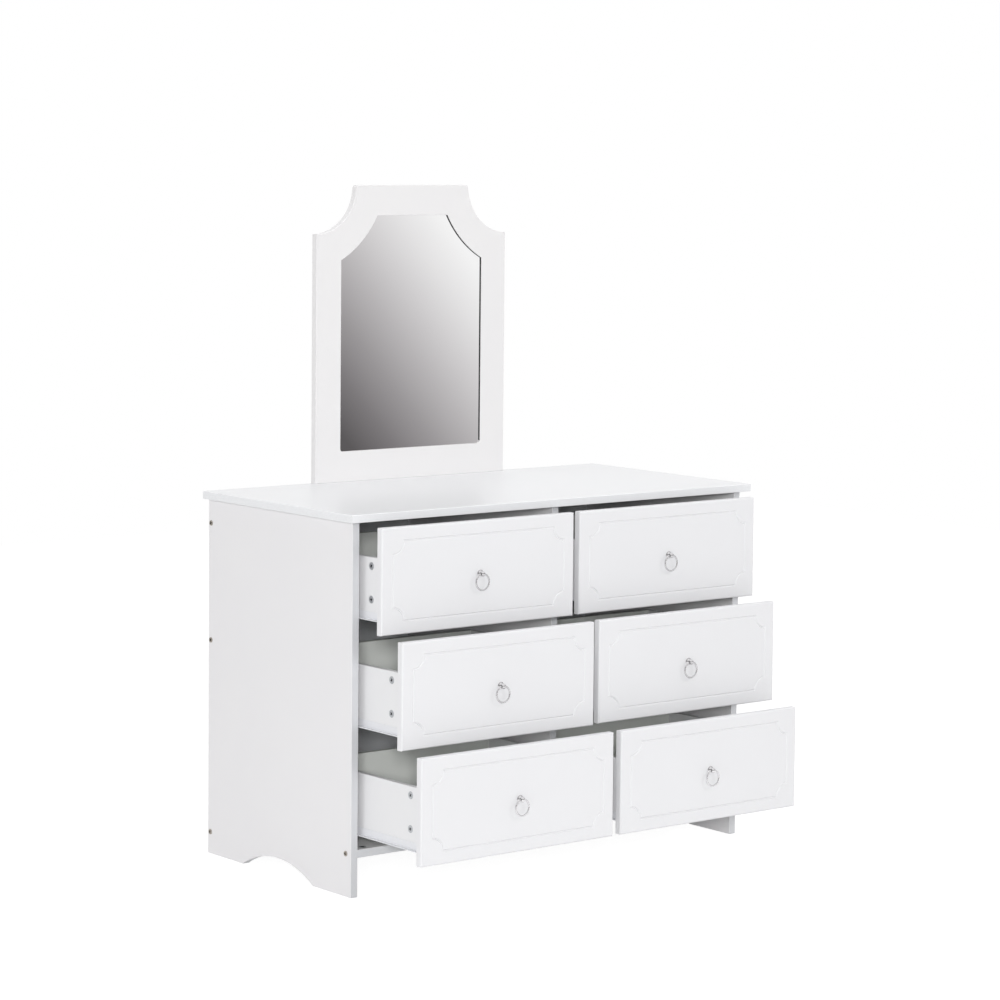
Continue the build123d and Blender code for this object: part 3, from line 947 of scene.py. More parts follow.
@dataclass
class StandingMirror:
    """The mirror, its frame with scooped corners and its backing.

    Attributes:
        scoop: how far each top corner of the frame is cut back.
        scoop_radius: radius of that hollow cut.
        crown: radius of the frame's top corners.
        opening_scoop: how far the opening's top corners are cut back.
        opening_radius: radius of that hollow cut.
        opening_corner: radius of the opening's lower corners.
        margin: width of the frame at its sides, top and foot.
        rebate: how far the glass runs behind the frame.
        lip: thickness of the frame in front of the glass.
        ease: radius of the frame's edges.
        shade_strip_width: thickness of the dark felt strips that are painted shade round the glass.
        shade_strip_rise: how far those strips stand up from the glass.
        film: how far its foot stays clear of the glass.
        steps: segments in each hollow corner.
    """

    scoop: float = 102.0 * MM
    scoop_radius: float = 102.0 * MM
    crown: float = 6.0 * MM
    opening_scoop: float = 93.0 * MM
    opening_radius: float = 224.0 * MM
    opening_corner: float = 6.0 * MM
    margin: float = 64.0 * MM
    rebate: float = 10.0 * MM
    lip: float = 4.0 * MM
    ease: float = 1.0 * MM
    shade_strip_width: float = 0.6 * MM
    shade_strip_rise: float = 2.2 * MM
    film: float = 0.02 * MM
    steps: int = 26

    def scooped(self, half: float, low: float, high: float, cut: float, radius: float) -> list[Point]:
        """Outline of an upright panel whose top corners are hollow arcs.

        Args:
            half: half its width.
            low: its lower edge.
            high: its upper edge.
            cut: how far the corners are cut back.
            radius: radius of the arcs.

        Returns:
            The loop, from the lower left corner.
        """
        reach = math.sqrt(radius * radius - cut * cut / 2) - cut / math.sqrt(2)
        away = reach / math.sqrt(2)
        start = math.atan2(-cut - away, -away)
        end = math.atan2(-away, -cut - away)
        right = arc((half + away, high + away), radius, start, end, self.steps)
        left = [(-u, v) for u, v in reversed(right)]
        return [(-half, low), (half, low), *right, *left]

    def build(self) -> None:
        """Build the frame, lay the strips of painted shade beside the glass, and dress the glass and its backboard.
        """
        low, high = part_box("mirror_frame")
        half = high.x
        outer = self.scooped(half, low.z, high.z, self.scoop, self.scoop_radius)
        outer = softened(outer, {i: self.crown for i in (self.steps + 2, self.steps + 3)})
        inner_half, inner_low, inner_high = half - self.margin, low.z + self.margin, high.z - self.margin
        opening = self.scooped(inner_half, inner_low, inner_high, self.opening_scoop, self.opening_radius)
        opening = softened(opening, {0: self.opening_corner, 1: self.opening_corner})
        pocket = self.scooped(
            inner_half + self.rebate, inner_low - self.rebate, inner_high + self.rebate,
            self.opening_scoop, self.opening_radius,
        )
        board = Board(
            Facing.UPRIGHT, outer, low.y, high.y, self.ease, ease_steps=4,
            holes=[opening], rebate=(pocket, self.lip), edge_finish=0,
        )
        settle(board.make("scooped_mirror_frame", [FRAME_FOIL]), "carcass", "white_board", "mirror_frame")
        self.shade_glass_edges(opening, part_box("mirror_glass")[0].y)
        dress("mirror_glass", SILVERED_GLASS)
        dress("mirror_backboard", RAW_HARDBOARD)

    def shade_glass_edges(self, opening: list[Point], glass: float) -> None:
        """Line each side of the opening with a dark felt strip, painted shade where the opening meets the glass.

        Args:
            opening: the loop of the frame's opening.
            glass: Y of the front of the glass.
        """
        build = MeshBuild(Facing.UPRIGHT)
        foot = min(v for _, v in opening) + self.opening_corner - self.ease
        for hand in (-1, 1):
            path = sorted(((u, v) for u, v in opening if hand * u > 0 and v > foot), key=lambda p: p[1])
            inner = [(u - hand * self.shade_strip_width, v) for u, v in path]
            strip = [*path, *reversed(inner)]
            low, high = build.loop(strip, glass - self.film), build.loop(strip, glass - self.shade_strip_rise)
            build.wall([low, high], smooth=False)
            for layer in (low, high):
                for i in range(len(path) - 1):
                    face = build.mesh.faces.new((layer[i], layer[i + 1], layer[-i - 2], layer[-i - 1]))
                    face.smooth = False
        settle(build.finish("glass_bedding_felt", [PAINTED_SHADE_FELT]), "carcass", "brown_hardboard")


@dataclass
class CarcassFittings:
    """Side screws, cams, mirror plates and the cabinet's runners.

    Attributes:
        screw_inset: screw distance from a side's rear edge.
        middle_share: height of the middle screw as a share of the bay.
        upper_drop: distance of the upper screw below the rails' upper edge.
        plate_inset: distance of a mirror plate's middle from the frame's edge.
        plate_width: width of a mirror plate.
        plate_thickness: its thickness.
        plate_corner: radius of its corners.
        plate_ease: radius of its edges.
        plate_drop: how far a plate hangs below the top.
        plate_rise: how far it stands above the top.
        plate_screws: heights of its screws above the top.
    """

    screw_inset: float = 9.0 * MM
    middle_share: float = 0.546
    upper_drop: float = 50.0 * MM
    plate_inset: float = 27.0 * MM
    plate_width: float = 30.0 * MM
    plate_thickness: float = 2.5 * MM
    plate_corner: float = 3.0 * MM
    plate_ease: float = 0.4 * MM
    plate_drop: float = 100.0 * MM
    plate_rise: float = 120.0 * MM
    plate_screws: tuple[float, ...] = (-85.0 * MM, -35.0 * MM, 40.0 * MM, 95.0 * MM)

    def screws(self) -> None:
        """Set the cross-headed screws in both sides."""
        left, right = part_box("left_side_panel"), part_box("right_side_panel")
        floor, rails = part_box("bottom_panel"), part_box("back_rails")
        plinth = (rails[0].z + floor[0].z) / 2
        middle = floor[1].z + self.middle_share * (left[1].z - floor[1].z)
        rear = [(left[1].y - self.screw_inset, z) for z in (plinth, middle, rails[1].z - self.upper_drop)]
        spots = [*rear, (left[0].y + FRONT_INSET, floor[1].z - (left[1].x - left[0].x) / 2)]
        head = SIDE_SCREW.template("side_screw_head", YELLOW_ZINC)
        sets = {
            AIM_LEFT: [Vector((left[0].x, y, z)) for y, z in spots],
            AIM_RIGHT: [Vector((right[1].x, y, z)) for y, z in spots],
        }
        piece = Scatter("side_screws", seed=11).lay("side_screw_heads", head, sets, YELLOW_ZINC)
        settle(piece, "carcass", "zinc_plated_steel", "carcass_fasteners")
        discard(head)

    def cams(self) -> None:
        """Set the cams in the bottom board."""
        head = CAM.template("bottom_cam_head", CAST_ZINC)
        spots = [Vector((*spot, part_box("bottom_panel")[1].z)) for spot in bottom_cams()]
        piece = Scatter("bottom_cams", seed=5).lay("bottom_cam_heads", head, {AIM_UP: spots}, CAST_ZINC)
        settle(piece, "carcass", "zinc_plated_steel")
        discard(head)

    def plates(self) -> None:
        """Build the two steel plates behind the mirror's foot, with their screws."""
        low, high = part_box("mirror_frame")
        foot, near, half = low.z, high.y + self.plate_thickness, self.plate_width / 2
        head = PLATE_SCREW.template("plate_screw_head", ZINC)
        across = high.x - self.plate_inset
        for side, x in (("left", -across), ("right", across)):
            plain = rectangle((x - half, foot - self.plate_drop), (x + half, foot + self.plate_rise))
            outline = softened(plain, {i: self.plate_corner for i in range(4)})
            plate = Board(Facing.UPRIGHT, outline, near, high.y, self.plate_ease, edge_finish=0)
            settle(plate.make(f"{side}_mirror_plate", [ZINC]), "carcass", "zinc_plated_steel")
            spots = [Vector((x, near, foot + rise)) for rise in self.plate_screws]
            piece = Scatter("plate_screws", seed=3).lay(f"{side}_plate_screw_heads", head, {AIM_BACK: spots}, ZINC)
            settle(piece, "carcass", "zinc_plated_steel")
        discard(head)


@dataclass
class Runner:
    """Folded steel strip in the XZ plane, drawn out along Y.

    Attributes:
        sheet: thickness of the steel.
        flange: width of the flanges.
        gap: free width between the cabinet wall and the drawer side.
        web: height of the drawer strip above its flange.
        lip: height of the cabinet strip above the drawer's lower edge.
        drop: depth of the cabinet strip's track below that edge.
        under: width of the ledge that carries the drawer side.
        wheel: the runner's wheel.
        wheel_gap: space between the cabinet wall and its wheel.
        wheel_drop: height of wheel centres below the drawer's lower edge.
        wheel_inset: distance of wheel centres from the strip's end.
        burr: radius of the strips' sheared ends.
        pin_room: how far a wheel's pin stays below its face.
        pin_sides: number of sides of a pin.
    """

    sheet: float = 1.2 * MM
    flange: float = 9.0 * MM
    gap: float = 12.5 * MM
    web: float = 14.0 * MM
    lip: float = 8.0 * MM
    drop: float = 13.8 * MM
    under: float = 9.0 * MM
    wheel: Wheel = Wheel()
    wheel_gap: float = 2.6 * MM
    wheel_drop: float = 7.5 * MM
    wheel_inset: float = 12.0 * MM
    burr: float = 0.25 * MM
    pin_room: float = 0.2 * MM
    pin_sides: int = 16

    def fold(self, build: MeshBuild, points: list[Point], near: float, far: float) -> None:
        """Add one folded strip to a mesh.

        Args:
            build: the mesh being made.
            points: the strip's section in X and Z.
            near: its front end.
            far: its rear end.
        """
        section = ccw(points)
        loops = [
            build.loop(grown(section, -self.burr), near),
            build.loop(section, near + self.burr),
            build.loop(section, far - self.burr),
            build.loop(grown(section, -self.burr), far),
        ]
        build.wall(loops)
        build.fill(loops[0])
        build.fill(loops[-1])

    def rivet(self, build: MeshBuild, foot: Vector, way: int, reach: float) -> None:
        """Add the pin that carries a wheel.

        Args:
            build: the mesh being made.
            foot: the pin's end in the wall or drawer side.
            way: 1 or -1, the way it points along X.
            reach: how far it stands out.
        """
        inner, end = way * self.sheet * 0.5, way * reach
        profile = [(0, inner), (self.wheel.pin, inner), (self.wheel.pin, end), (0, end)]
        turned(build, profile, about(foot, "x"), self.pin_sides)

    def cabinet_section(self, wall: float, inward: int, edge: float) -> list[Point]:
        """Section of a cabinet strip: a channel that opens inwards.

        Args:
            wall: X of the cabinet wall.
            inward: 1 or -1, the way into the bay.
            edge: height of the drawer side's lower edge.

        Returns:
            The section's loop.
        """
        s, deep = inward * self.sheet, inward * (self.sheet + self.flange)
        low, high = edge - self.drop, edge + self.lip
        return [
            (wall, low - self.sheet), (wall + deep, low - self.sheet), (wall + deep, low), (wall + s, low),
            (wall + s, high - self.sheet), (wall + deep, high - self.sheet), (wall + deep, high), (wall, high),
        ]

    def drawer_section(self, side: float, outward: int, edge: float) -> list[Point]:
        """Section of a drawer strip: a web on the side over a ledge and a flange.

        Args:
            side: X of the drawer side's outer face.
            outward: 1 or -1, the way out of the drawer.
            edge: height of the drawer side's lower edge.

        Returns:
            The section's loop.
        """
        skin = side + outward * self.sheet
        return [
            (side - outward * self.under, edge - self.sheet), (skin + outward * self.flange, edge - self.sheet),
            (skin + outward * self.flange, edge), (skin, edge), (skin, edge + self.web), (side, edge + self.web),
            (side, edge), (side - outward * self.under, edge),
        ]

    def cabinet(self) -> None:
        """Build all the strips and wheels fixed to the cabinet."""
        low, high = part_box("cabinet_runners")
        build = MeshBuild(Facing.UPRIGHT)
        sets: dict = {AIM_LEFT: [], AIM_RIGHT: []}
        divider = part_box("centre_divider")
        bays = {"left": ((low.x, 1), (divider[0].x, -1)), "right": ((divider[1].x, 1), (high.x, -1))}
        reach = self.wheel_gap + self.wheel.width - self.pin_room
        for column, walls in bays.items():
            for row in ROWS:
                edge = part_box(f"{row}_{column}_drawer_left_side")[0].z
                for wall, inward in walls:
                    self.fold(build, self.cabinet_section(wall, inward, edge), low.y, high.y)
                    y, z = low.y + self.wheel_inset, edge - self.wheel_drop
                    spot = Vector((wall + inward * self.wheel_gap, y, z))
                    sets[AIM_RIGHT if inward > 0 else AIM_LEFT].append(spot)
                    self.rivet(build, Vector((wall, spot.y, spot.z)), inward, reach)
        strips = build.finish("cabinet_runner_strips", [POWDER_COAT])
        settle(strips, "carcass", "white_enamel_steel", "cabinet_runners")
        template = self.wheel.template("cabinet_wheel")
        wheels = Scatter("cabinet_wheels", seed=2).lay("cabinet_runner_wheels", template, sets, NYLON)
        settle(wheels, "carcass", "white_enamel_steel")
        discard(template)


# ------------------------------------------------------------------- drawers
@dataclass
class RoutedFront:
    """A drawer front with a rounded rim and a routed line with notched corners.

    Attributes:
        rim: radius of the front's rim.
        margin: distance from the board's edge to the routed line.
        width: width of the line.
        depth: its depth.
        notch: radius of the hollow corners.
        arc_steps: segments in each hollow corner.
        section: half the line's section, as shares of half its width and of its depth.
        rim_steps: segments round the rim.
        back_rim: radius of the rear edges.
        back_steps: segments round them.
        crease_deg: edges sharper than this stay crisp.
    """

    rim: float = 4.0 * MM
    margin: float = 24.0 * MM
    width: float = 4.5 * MM
    depth: float = 2.0 * MM
    notch: float = 26.0 * MM
    arc_steps: int = 18
    section: tuple[Point, ...] = ((1.0, 0.0), (0.88, 0.06), (0.62, 0.42), (0.34, 0.82), (0.12, 0.98))
    rim_steps: int = 7
    back_rim: float = 0.5 * MM
    back_steps: int = 2
    crease_deg: float = 50.0

    def notched(self, low: Point, high: Point, growth: float) -> list[Point]:
        """Outline with hollow quarter-circle corners, moved out by a growth.

        Args:
            low: lower corner of the line's middle rectangle.
            high: its upper corner.
            growth: how far the loop lies outside the line's middle.

        Returns:
            The loop.
        """
        radius = self.notch - growth
        lean = math.asin(growth / radius)
        loop: list[Point] = []
        turns = (((high[0], low[1]), 2), ((high[0], high[1]), 3), ((low[0], high[1]), 0), ((low[0], low[1]), 1))
        for corner, quarter in turns:
            start = quarter * QUARTER + lean
            end = (quarter - 1) * QUARTER - lean
            loop += arc(corner, radius, start, end, self.arc_steps)
        return loop

    def make(self, name: str, low: Vector, high: Vector) -> Object:
        """Build the front in the space of its node.

        Args:
            name: the piece's name.
            low: lowest corner of the board.
            high: highest corner of the board.

        Returns:
            The front's object.
        """
        build = MeshBuild(Facing.UPRIGHT)
        outline = rectangle((low.x, low.z), (high.x, high.z))
        front, back = eased(self.rim, self.rim_steps), reversed(eased(self.back_rim, self.back_steps))
        loops = [build.loop(grown(outline, -inset), low.y + down) for inset, down in front]
        loops += [build.loop(grown(outline, -inset), high.y - down) for inset, down in back]
        build.wall(loops)
        build.fill(loops[-1])
        half = self.width / 2
        middle = self.margin + half
        first, last = (low.x + middle, low.z + middle), (high.x - middle, high.z - middle)
        section = [*self.section, *[(-s, d) for s, d in reversed(self.section)]]
        line = [build.loop(self.notched(first, last, s * half), low.y + d * self.depth) for s, d in section]
        build.wall(line)
        build.fill(loops[0], [line[0]])
        build.fill(line[-1])
        return build.finish(name, [PRESSED_FOIL], self.crease_deg)


@dataclass
class RingPull:
    """A turned post with a drilled ball and a twisted ring that hangs in it.

    Attributes:
        rose: radius of the post's foot plate.
        stem: radius of the stem.
        ball: radius of the ball.
        bore: radius of the hole across the ball.
        ring: radius of the ring's middle line.
        wire: radius of the wire over its strands.
        strands: number of twisted strands.
        twists: number of full turns of the strands round the ring.
        valley: wire radius between two strands, as a share of the full radius.
        around: segments round the ring.
        across: segments round its wire.
        rose_turning: inward and outward steps of the foot plate's profile, in mm.
        throat_turning: the same from the foot plate into the stem, counted from the stem's radius.
        stem_room: space between the stem's tip and the bore.
        mouth: angle between the bore's edge and the ball's skin, in radians.
        lip: how far the bore's edge is sunk.
        sides: number of sides of the foot plate, and of the ball.
        skin_steps: segments from bore to bore across the ball.
        crease_deg: sharpest edges shaded smooth, on the post and on the ring.
    """

    rose: float = 7.5 * MM
    stem: float = 3.2 * MM
    ball: float = 5.5 * MM
    bore: float = 2.79 * MM
    ring: float = 16.0 * MM
    wire: float = 1.7 * MM
    strands: int = 3
    twists: int = 7
    valley: float = 0.80
    around: int = 160
    across: int = 24
    rose_turning: tuple[Point, ...] = (
        (0.0, 0.0), (0.0, 0.5), (0.3, 0.9), (0.9, 1.1), (1.6, 1.2), (2.0, 1.5), (2.6, 2.1),
    )
    throat_turning: tuple[Point, ...] = ((-0.8, 2.5), (0.0, 3.0), (0.3, 3.8))
    stem_room: float = 0.4 * MM
    mouth: float = 0.06
    lip: float = 0.25 * MM
    sides: tuple[int, int] = (32, 40)
    skin_steps: int = 16
    crease_deg: tuple[float, float] = (60.0, 80.0)

    def post(self, name: str, face: float, eye: Vector) -> Object:
        """Build the post.

        Args:
            name: the piece's name.
            face: Y of the drawer's face.
            eye: centre of the ball.

        Returns:
            The post's object.
        """
        build = MeshBuild(Facing.UPRIGHT)
        turnings = ((self.rose, self.rose_turning), (self.stem, self.throat_turning))
        profile = [(radius - inward * MM, -out * MM) for radius, steps in turnings for inward, out in steps]
        reach = face - eye.y - self.bore - self.stem_room
        foot = Vector((eye.x, face, eye.z))
        turned(build, [(0, 0), *profile, (0, -reach)], about(foot, "y"), self.sides[0])
        edge = math.asin(self.bore / self.ball) + self.mouth
        lip = self.ball * math.cos(edge) - self.lip
        skin = arc((0.0, 0.0), self.ball, edge, math.pi - edge, self.skin_steps)
        loop = [(self.bore, lip), *[(v, u) for u, v in skin], (self.bore, -lip)]
        turned(build, loop, about(eye, "x"), self.sides[1], closed=True)
        return build.finish(name, [CHROME], self.crease_deg[0])

    def hanging_ring(self, name: str, eye: Vector) -> Object:
        """Build the twisted ring.

        Args:
            name: the piece's name.
            eye: centre of the ball it hangs in.

        Returns:
            The ring's object.
        """
        build = MeshBuild(Facing.UPRIGHT)
        centre = eye - Vector((0.0, 0.0, self.ring))
        loops = []
        for i in range(self.around):
            turn = math.tau * i / self.around
            loop = []
            for k in range(self.across):
                angle = math.tau * k / self.across
                lobe = abs(math.cos(self.strands * (angle + self.twists * turn) / 2))
                radius = self.wire * (self.valley + (1 - self.valley) * lobe)
                out = self.ring + radius * math.cos(angle)
                spot = centre + Vector((out * math.sin(turn), radius * math.sin(angle), out * math.cos(turn)))
                loop.append(build.mesh.verts.new(spot))
            loops.append(loop)
        build.wall([*loops, loops[0]])
        return build.finish(name, [CHROME], self.crease_deg[1])


@dataclass
class Drawer:
    """One drawer with its front, box, runners, cams and ring pull.

    Attributes:
        row: upper, middle or lower.
        column: left or right.
        reach: distance of the ball's centre in front of the face.
        cam_inset: cam distance behind the front.
        cam_heights: cam heights above the side's lower edge.
        cam_turn: largest turn of a cam about its axis.
        side_ease: radius of the sides' edges.
        tab: length of the tab that carries the drawer's wheel.
        front: its front board.
        pull: its ring pull.
        runner: its runner.
    """

    row: str
    column: str
    reach: float = 8.0 * MM
    cam_inset: float = 33.0 * MM
    cam_heights: tuple[float, float] = (38.0 * MM, 103.0 * MM)
    cam_turn: float = 0.9
    side_ease: float = 0.8 * MM
    tab: float = 20.0 * MM
    front: RoutedFront = field(default_factory=RoutedFront)
    pull: RingPull = field(default_factory=RingPull)
    runner: Runner = field(default_factory=Runner)

    @property
    def name(self) -> str:
        """The drawer's name in the frame."""
        return f"{self.row}_{self.column}_drawer"

    @property
    def seed(self) -> int:
        """A fixed seed, so that heads are turned differently from drawer to drawer."""
        return 17 + len(self.row) * 3 + len(self.column)

    def box_sides(self) -> None:
        """Build the two wrapped sides and dress the back and the bottom."""
        for hand in ("left", "right"):
            node = f"{self.name}_{hand}_side"
            low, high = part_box(node)
            near, far = (low.x, high.x) if hand == "left" else (high.x, low.x)
            pockets = [cam_pocket((low.y + self.cam_inset, low.z + rise)) for rise in self.cam_heights]
            outline = rectangle((low.y, low.z), (high.y, high.z))
            board = Board(Facing.SIDEWAYS, outline, near, far, self.side_ease, recesses=pockets, edge_finish=0)
            settle(board.make(f"{self.name}_{hand}_board", [WRAPPED_FOIL]), self.name, "white_board", node)
        dress(f"{self.name}_back", LINING_FOIL_PAINTED_TINT)
        dress(f"{self.name}_bottom", LINING_FOIL_PAINTED_TINT)

    def fittings(self, cam: Object, wheel: Object) -> None:
        """Build the drawer's strips, wheels and cams.

        Args:
            cam: template of a cam's head.
            wheel: template of a wheel.
        """
        left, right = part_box(f"{self.name}_left_side"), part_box(f"{self.name}_right_side")
        edge, near, far = left[0].z, left[0].y, left[1].y
        build = MeshBuild(Facing.UPRIGHT)
        wheels: dict = {AIM_LEFT: [], AIM_RIGHT: []}
        cams: dict = {AIM_LEFT: [], AIM_RIGHT: []}
        run = self.runner
        reach = run.gap - run.wheel_gap - run.pin_room
        for side, outward in ((left[0].x, -1), (right[1].x, 1)):
            aim = AIM_RIGHT if outward > 0 else AIM_LEFT
            run.fold(build, run.drawer_section(side, outward, edge), near, far)
            skin = side + outward * run.sheet
            tab_low = edge - run.wheel_drop - run.wheel.radius / 2
            tab = rectangle((min(side, skin), tab_low), (max(side, skin), edge - run.sheet))
            run.fold(build, tab, far - self.tab, far)
            wheel_x = side + outward * (run.gap - run.wheel_gap - run.wheel.width)
            spot = Vector((wheel_x, far - run.wheel_inset, edge - run.wheel_drop))
            wheels[aim].append(spot)
            run.rivet(build, Vector((side, spot.y, spot.z)), outward, reach)
            cams[aim] += [Vector((side, near + self.cam_inset, edge + rise)) for rise in self.cam_heights]
        strips = build.finish(f"{self.name}_runner_strips", [POWDER_COAT])
        settle(strips, self.name, "white_enamel_steel", f"{self.name}_hardware")
        made = Scatter("drawer_wheels", self.seed).lay(f"{self.name}_wheels", wheel, wheels, NYLON)
        settle(made, self.name, "white_enamel_steel")
        made = Scatter("drawer_cams", self.seed, self.cam_turn).lay(f"{self.name}_cams", cam, cams, CAST_ZINC)
        settle(made, self.name, "zinc_plated_steel")

    def build(self, cam: Object, wheel: Object) -> None:
        """Build every piece of the drawer.

        Args:
            cam: template of a cam's head.
            wheel: template of a wheel.
        """
        low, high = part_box(f"{self.name}_front")
        board = self.front.make(f"{self.name}_routed_front", low, high)
        settle(board, self.name, "white_board", f"{self.name}_front")
        self.box_sides()
        self.fittings(cam, wheel)
        eye = Vector(((low.x + high.x) / 2, low.y - self.reach, (low.z + high.z) / 2))
        post = self.pull.post(f"{self.name}_turned_post", low.y, eye)
        settle(post, self.name, "chromed_metal", f"{self.name}_pull_post")
        ring = self.pull.hanging_ring(f"{self.name}_twisted_ring", eye)
        settle(ring, f"{self.row}_{self.column}_ring", "chromed_metal", f"{self.name}_pull_ring")


# -------------------------------------------------------------------- studio
WHITE = (1.0, 1.0, 1.0, 1.0)


@dataclass(frozen=True)
class Lamp:
    """One square soft lamp that faces the middle of the object.

    Attributes:
        name: its name.
        spot: its position.
        size: its side length.
        power: its power in watts.
    """

    name: str
    spot: tuple[float, float, float]
    size: float
    power: float

    def build(self, aim: Vector) -> None:
        """Hang the lamp so that it faces a point."""
        data = bpy.data.lights.new(self.name, "AREA")
        data.shape, data.size, data.energy = "SQUARE", self.size, self.power
        made = linked(self.name, data)
        made.location = self.spot
        made.rotation_mode = "QUATERNION"
        made.rotation_quaternion = (aim - Vector(self.spot)).to_track_quat("-Z", "Y")
        made.visible_glossy = False


@dataclass
class Studio:
    """Camera, floor, lamps and surroundings.

    Attributes:
        eye: camera position.
        yaw: turn of the view to the right, in degrees.
        pitch: tilt of the view downwards, in degrees.
        roll: turn of the picture, in degrees.
        lens: focal length in mm.
        sensor: width of the sensor in mm.
        reach: farthest distance that the camera sees.
        shift: lens shift in picture widths.
        ambient: strength of the even light.
        middle: the point that the lamps face.
        lamps: the soft lamps.
        floor_reach: half the floor's side length.
        floor_level: its height, just below the feet.
        floor_grey: its paint as other rays see it.
        floor_dim: its paint as the camera sees it, under the glow.
        floor_tone: the glow's strength to the camera.
        floor_span: distances from the middle between which its gloss image fades.
        floor_fade: that image's brightness at these distances.
        wall_depth: Y of the graded wall.
        wall_low: its lower left corner in X and Z.
        wall_high: its upper right corner.
        wall_way: direction in X and Z along which it brightens.
        wall_tones: brightness by distance along that direction.
        wall_warmth: tint of its darkest part.
        sky_rise: upward share of a direction over which gloss brightens.
        sky_tones: gloss brightness at these two.
        sky_behind: backward share of a direction over which gloss brightens.
    """

    eye: tuple[float, float, float] = (-4.1234, -5.1787, 1.4667)
    yaw: float = 38.488
    pitch: float = 3.783
    roll: float = 0.522
    lens: float = 116.43
    sensor: float = 36.0
    reach: float = 60.0
    shift: tuple[float, float] = (-0.00964, -0.14387)
    ambient: float = 0.47
    middle: Vector = field(default_factory=lambda: Vector((0.0, -0.1, 0.6)))
    lamps: tuple[Lamp, ...] = (
        Lamp("key_lamp", (2.6, -3.6, 3.0), 0.9, 42.0),
        Lamp("front_lamp", (-6.25, -7.85, 2.45), 1.3, 545.0),
        Lamp("left_lamp", (-5.0, 0.4, 1.6), 1.5, 28.0),
        Lamp("top_lamp", (0.1, 0.0, 4.0), 2.4, 40.0),
    )
    floor_reach: float = 5.0
    floor_level: float = -0.0004
    floor_grey: str = "#E6E6E6"
    floor_dim: str = "#8A8A8A"
    floor_tone: float = 0.93
    floor_span: Point = (1.0, 4.6)
    floor_fade: Point = (0.95, 0.3)
    wall_depth: float = -4.805
    wall_low: Point = (3.2, 0.08)
    wall_high: Point = (4.6, 1.4)
    wall_way: Point = (0.7427, 0.6696)
    wall_tones: tuple[Point, ...] = (
        (2.4, 0.12), (2.6, 0.1), (2.779, 0.1121), (2.939, 0.2138), (3.099, 0.345),
        (3.259, 0.499), (3.419, 0.663), (3.579, 0.825), (3.739, 0.965), (4.0, 1.0),
    )
    wall_warmth: float = 0.035
    sky_rise: Point = (0.1, 0.55)
    sky_tones: Point = (0.25, 1.0)
    sky_behind: Point = (-0.35, 0.15)

    def camera(self) -> None:
        """Place the camera."""
        yaw, pitch, roll = map(math.radians, (self.yaw, self.pitch, self.roll))
        ahead = Vector((math.sin(yaw) * math.cos(pitch), math.cos(yaw) * math.cos(pitch), -math.sin(pitch)))
        right = Vector((math.cos(yaw), -math.sin(yaw), 0.0))
        up = right.cross(ahead)
        along = math.cos(roll) * right + math.sin(roll) * up
        upward = -math.sin(roll) * right + math.cos(roll) * up
        turn = Matrix((along, upward, -ahead)).transposed().to_4x4()
        data = bpy.data.cameras.new("view")
        data.lens, data.sensor_width = self.lens, self.sensor
        data.shift_x, data.shift_y = self.shift
        data.clip_end = self.reach
        made = linked("view", data)
        made.matrix_world = Matrix.Translation(self.eye) @ turn
        bpy.context.scene.camera = made

    def plane(self, name: str, corners: Sequence[Sequence[float]], material: Material) -> Object:
        """Add one staged rectangle."""
        data = bpy.data.meshes.new(name)
        data.from_pydata(corners, [], [range(4)])
        data.materials.append(material)
        made = linked(name, data)
        return made

    def seen(self, tree: NodeTree) -> NodeSocket:
        """Socket that is 1 for camera, mirror and glass rays."""
        path = add_node(tree, "ShaderNodeLightPath").outputs
        first = maths(tree, "MAXIMUM", path["Is Camera Ray"], path["Is Glossy Ray"])
        return maths(tree, "MAXIMUM", first, path["Is Transmission Ray"])

    def floor(self) -> None:
        """Lay the pale floor, which shows white but keeps a soft shadow."""
        material = bpy.data.materials.new("painted_studio_floor")
        tree = blank_tree(material)
        plain = add_node(tree, "ShaderNodeBsdfDiffuse", {"Color": linear(self.floor_grey)}).outputs[0]
        faint = add_node(tree, "ShaderNodeBsdfDiffuse", {"Color": linear(self.floor_dim)}).outputs[0]
        place = add_node(tree, "ShaderNodeTexCoord").outputs["Object"]
        away = add_node(tree, "ShaderNodeVectorMath", {0: place}, operation="LENGTH").outputs["Value"]
        tone = ranged(tree, away, self.floor_span, self.floor_fade)
        direct = add_node(tree, "ShaderNodeLightPath").outputs["Is Camera Ray"]
        level = add_node(tree, "ShaderNodeMix", {"Factor": direct, "A": tone, "B": self.floor_tone}).outputs["Result"]
        glow = add_node(tree, "ShaderNodeEmission", {"Color": WHITE, "Strength": level}).outputs[0]
        white = add_node(tree, "ShaderNodeAddShader", {0: faint, 1: glow}).outputs[0]
        both = add_node(tree, "ShaderNodeMixShader", {0: self.seen(tree), 1: plain, 2: white}).outputs[0]
        add_node(tree, "ShaderNodeOutputMaterial", {"Surface": both})
        edge = self.floor_reach
        corners = [(*spot, self.floor_level) for spot in rectangle((-edge, -edge), (edge, edge))]
        self.plane("studio_floor", corners, material)

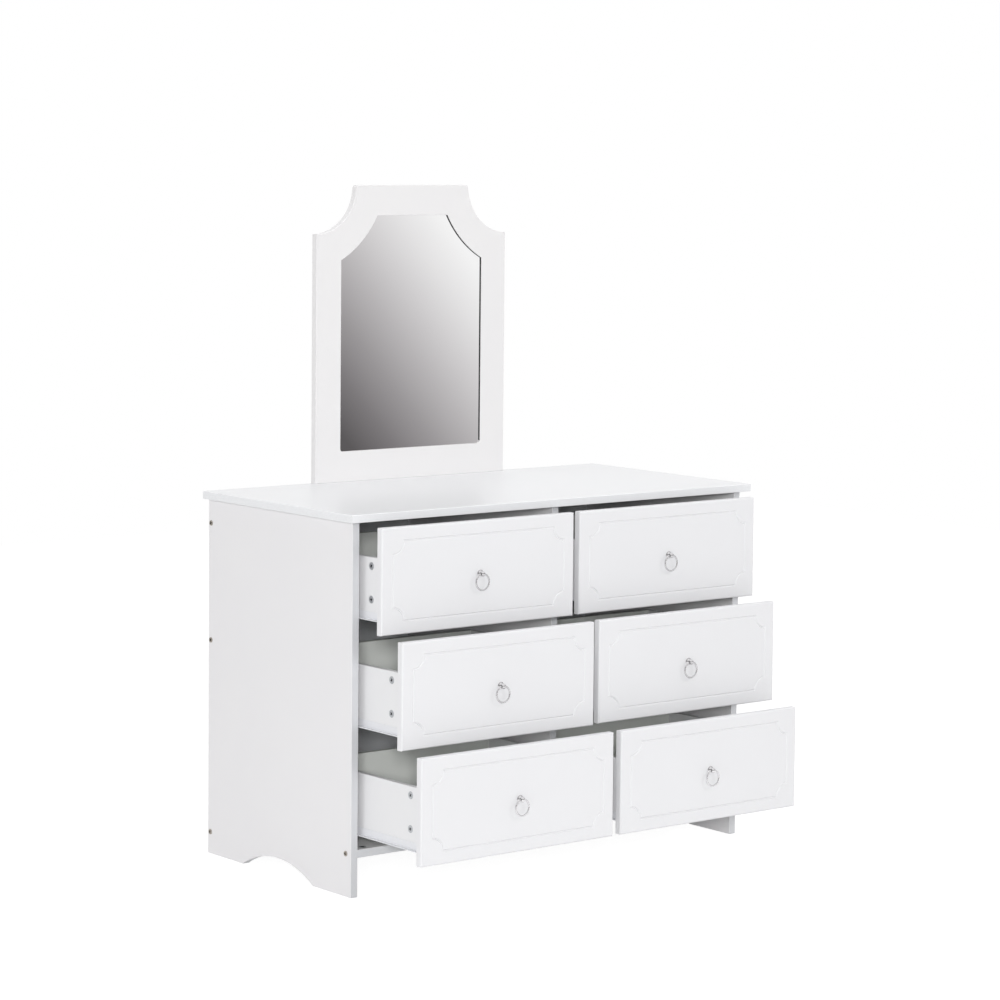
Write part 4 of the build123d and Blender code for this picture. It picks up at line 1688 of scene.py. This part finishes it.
    def wall(self) -> None:
        """Stand the graded wall that only gloss and the mirror see."""
        material = bpy.data.materials.new("graded_studio_wall")
        tree = blank_tree(material)
        place = add_node(tree, "ShaderNodeTexCoord").outputs["Object"]
        axes = add_node(tree, "ShaderNodeSeparateXYZ", {0: place}).outputs
        across = maths(tree, "MULTIPLY", axes["X"], self.wall_way[0])
        along = maths(tree, "MULTIPLY_ADD", axes["Z"], self.wall_way[1], across)
        low, high = self.wall_tones[0][0], self.wall_tones[-1][0]
        ramp = add_node(tree, "ShaderNodeValToRGB", {"Fac": ranged(tree, along, (low, high))})
        elements = ramp.color_ramp.elements
        for _ in self.wall_tones[2:]:
            elements.new(0.5)
        for element, (spot, tone) in zip(elements, self.wall_tones):
            element.position = (spot - low) / (high - low)
            warmth = self.wall_warmth * (1.0 - tone)
            element.color = (tone * (1.0 + warmth), tone * (1.0 - warmth), tone, 1.0)
        glow = add_node(tree, "ShaderNodeEmission", {"Color": ramp.outputs["Color"], "Strength": 1.0})
        add_node(tree, "ShaderNodeOutputMaterial", {"Surface": glow.outputs[0]})
        corners = [(x, self.wall_depth, z) for x, z in rectangle(self.wall_low, self.wall_high)]
        made = self.plane("graded_wall", corners, material)
        made.visible_camera = made.visible_diffuse = made.visible_shadow = made.visible_transmission = False

    def world(self) -> None:
        """Set the even light and the white surroundings."""
        world = bpy.data.worlds.new("studio")
        tree = blank_tree(world)
        way = add_node(tree, "ShaderNodeTexCoord").outputs["Generated"]
        axes = add_node(tree, "ShaderNodeSeparateXYZ", {0: way}).outputs
        rise = ranged(tree, axes["Z"], self.sky_rise, self.sky_tones)
        behind = ranged(tree, axes["Y"], self.sky_behind)
        gloss = maths(tree, "MAXIMUM", rise, behind)
        direct = add_node(tree, "ShaderNodeLightPath").outputs["Is Camera Ray"]
        level = maths(tree, "MAXIMUM", gloss, direct)
        even = add_node(tree, "ShaderNodeBackground", {"Color": WHITE, "Strength": self.ambient}).outputs[0]
        white = add_node(tree, "ShaderNodeBackground", {"Color": WHITE, "Strength": level}).outputs[0]
        both = add_node(tree, "ShaderNodeMixShader", {0: self.seen(tree), 1: even, 2: white}).outputs[0]
        add_node(tree, "ShaderNodeOutputWorld", {"Surface": both})
        bpy.context.scene.world = world

    def build(self) -> None:
        """Set up the whole studio."""
        self.camera()
        self.floor()
        self.wall()
        self.world()
        for lamp in self.lamps:
            lamp.build(self.middle)
        bpy.context.scene.view_settings.view_transform = "Standard"


def main() -> None:
    """Build the studio and every sub-assembly in order."""
    logging.basicConfig(level=logging.INFO, format="%(name)s: %(message)s")
    Studio().build()
    Carcass().build()
    StandingMirror().build()
    fittings = CarcassFittings()
    fittings.screws()
    fittings.cams()
    fittings.plates()
    Runner().cabinet()
    cam = CAM.template("drawer_cam_head", CAST_ZINC)
    wheel = Wheel().template("drawer_wheel")
    for row in ROWS:
        for column in ("left", "right"):
            Drawer(row, column).build(cam, wheel)
    discard(cam, wheel)


if __name__ == "__main__":
    main()
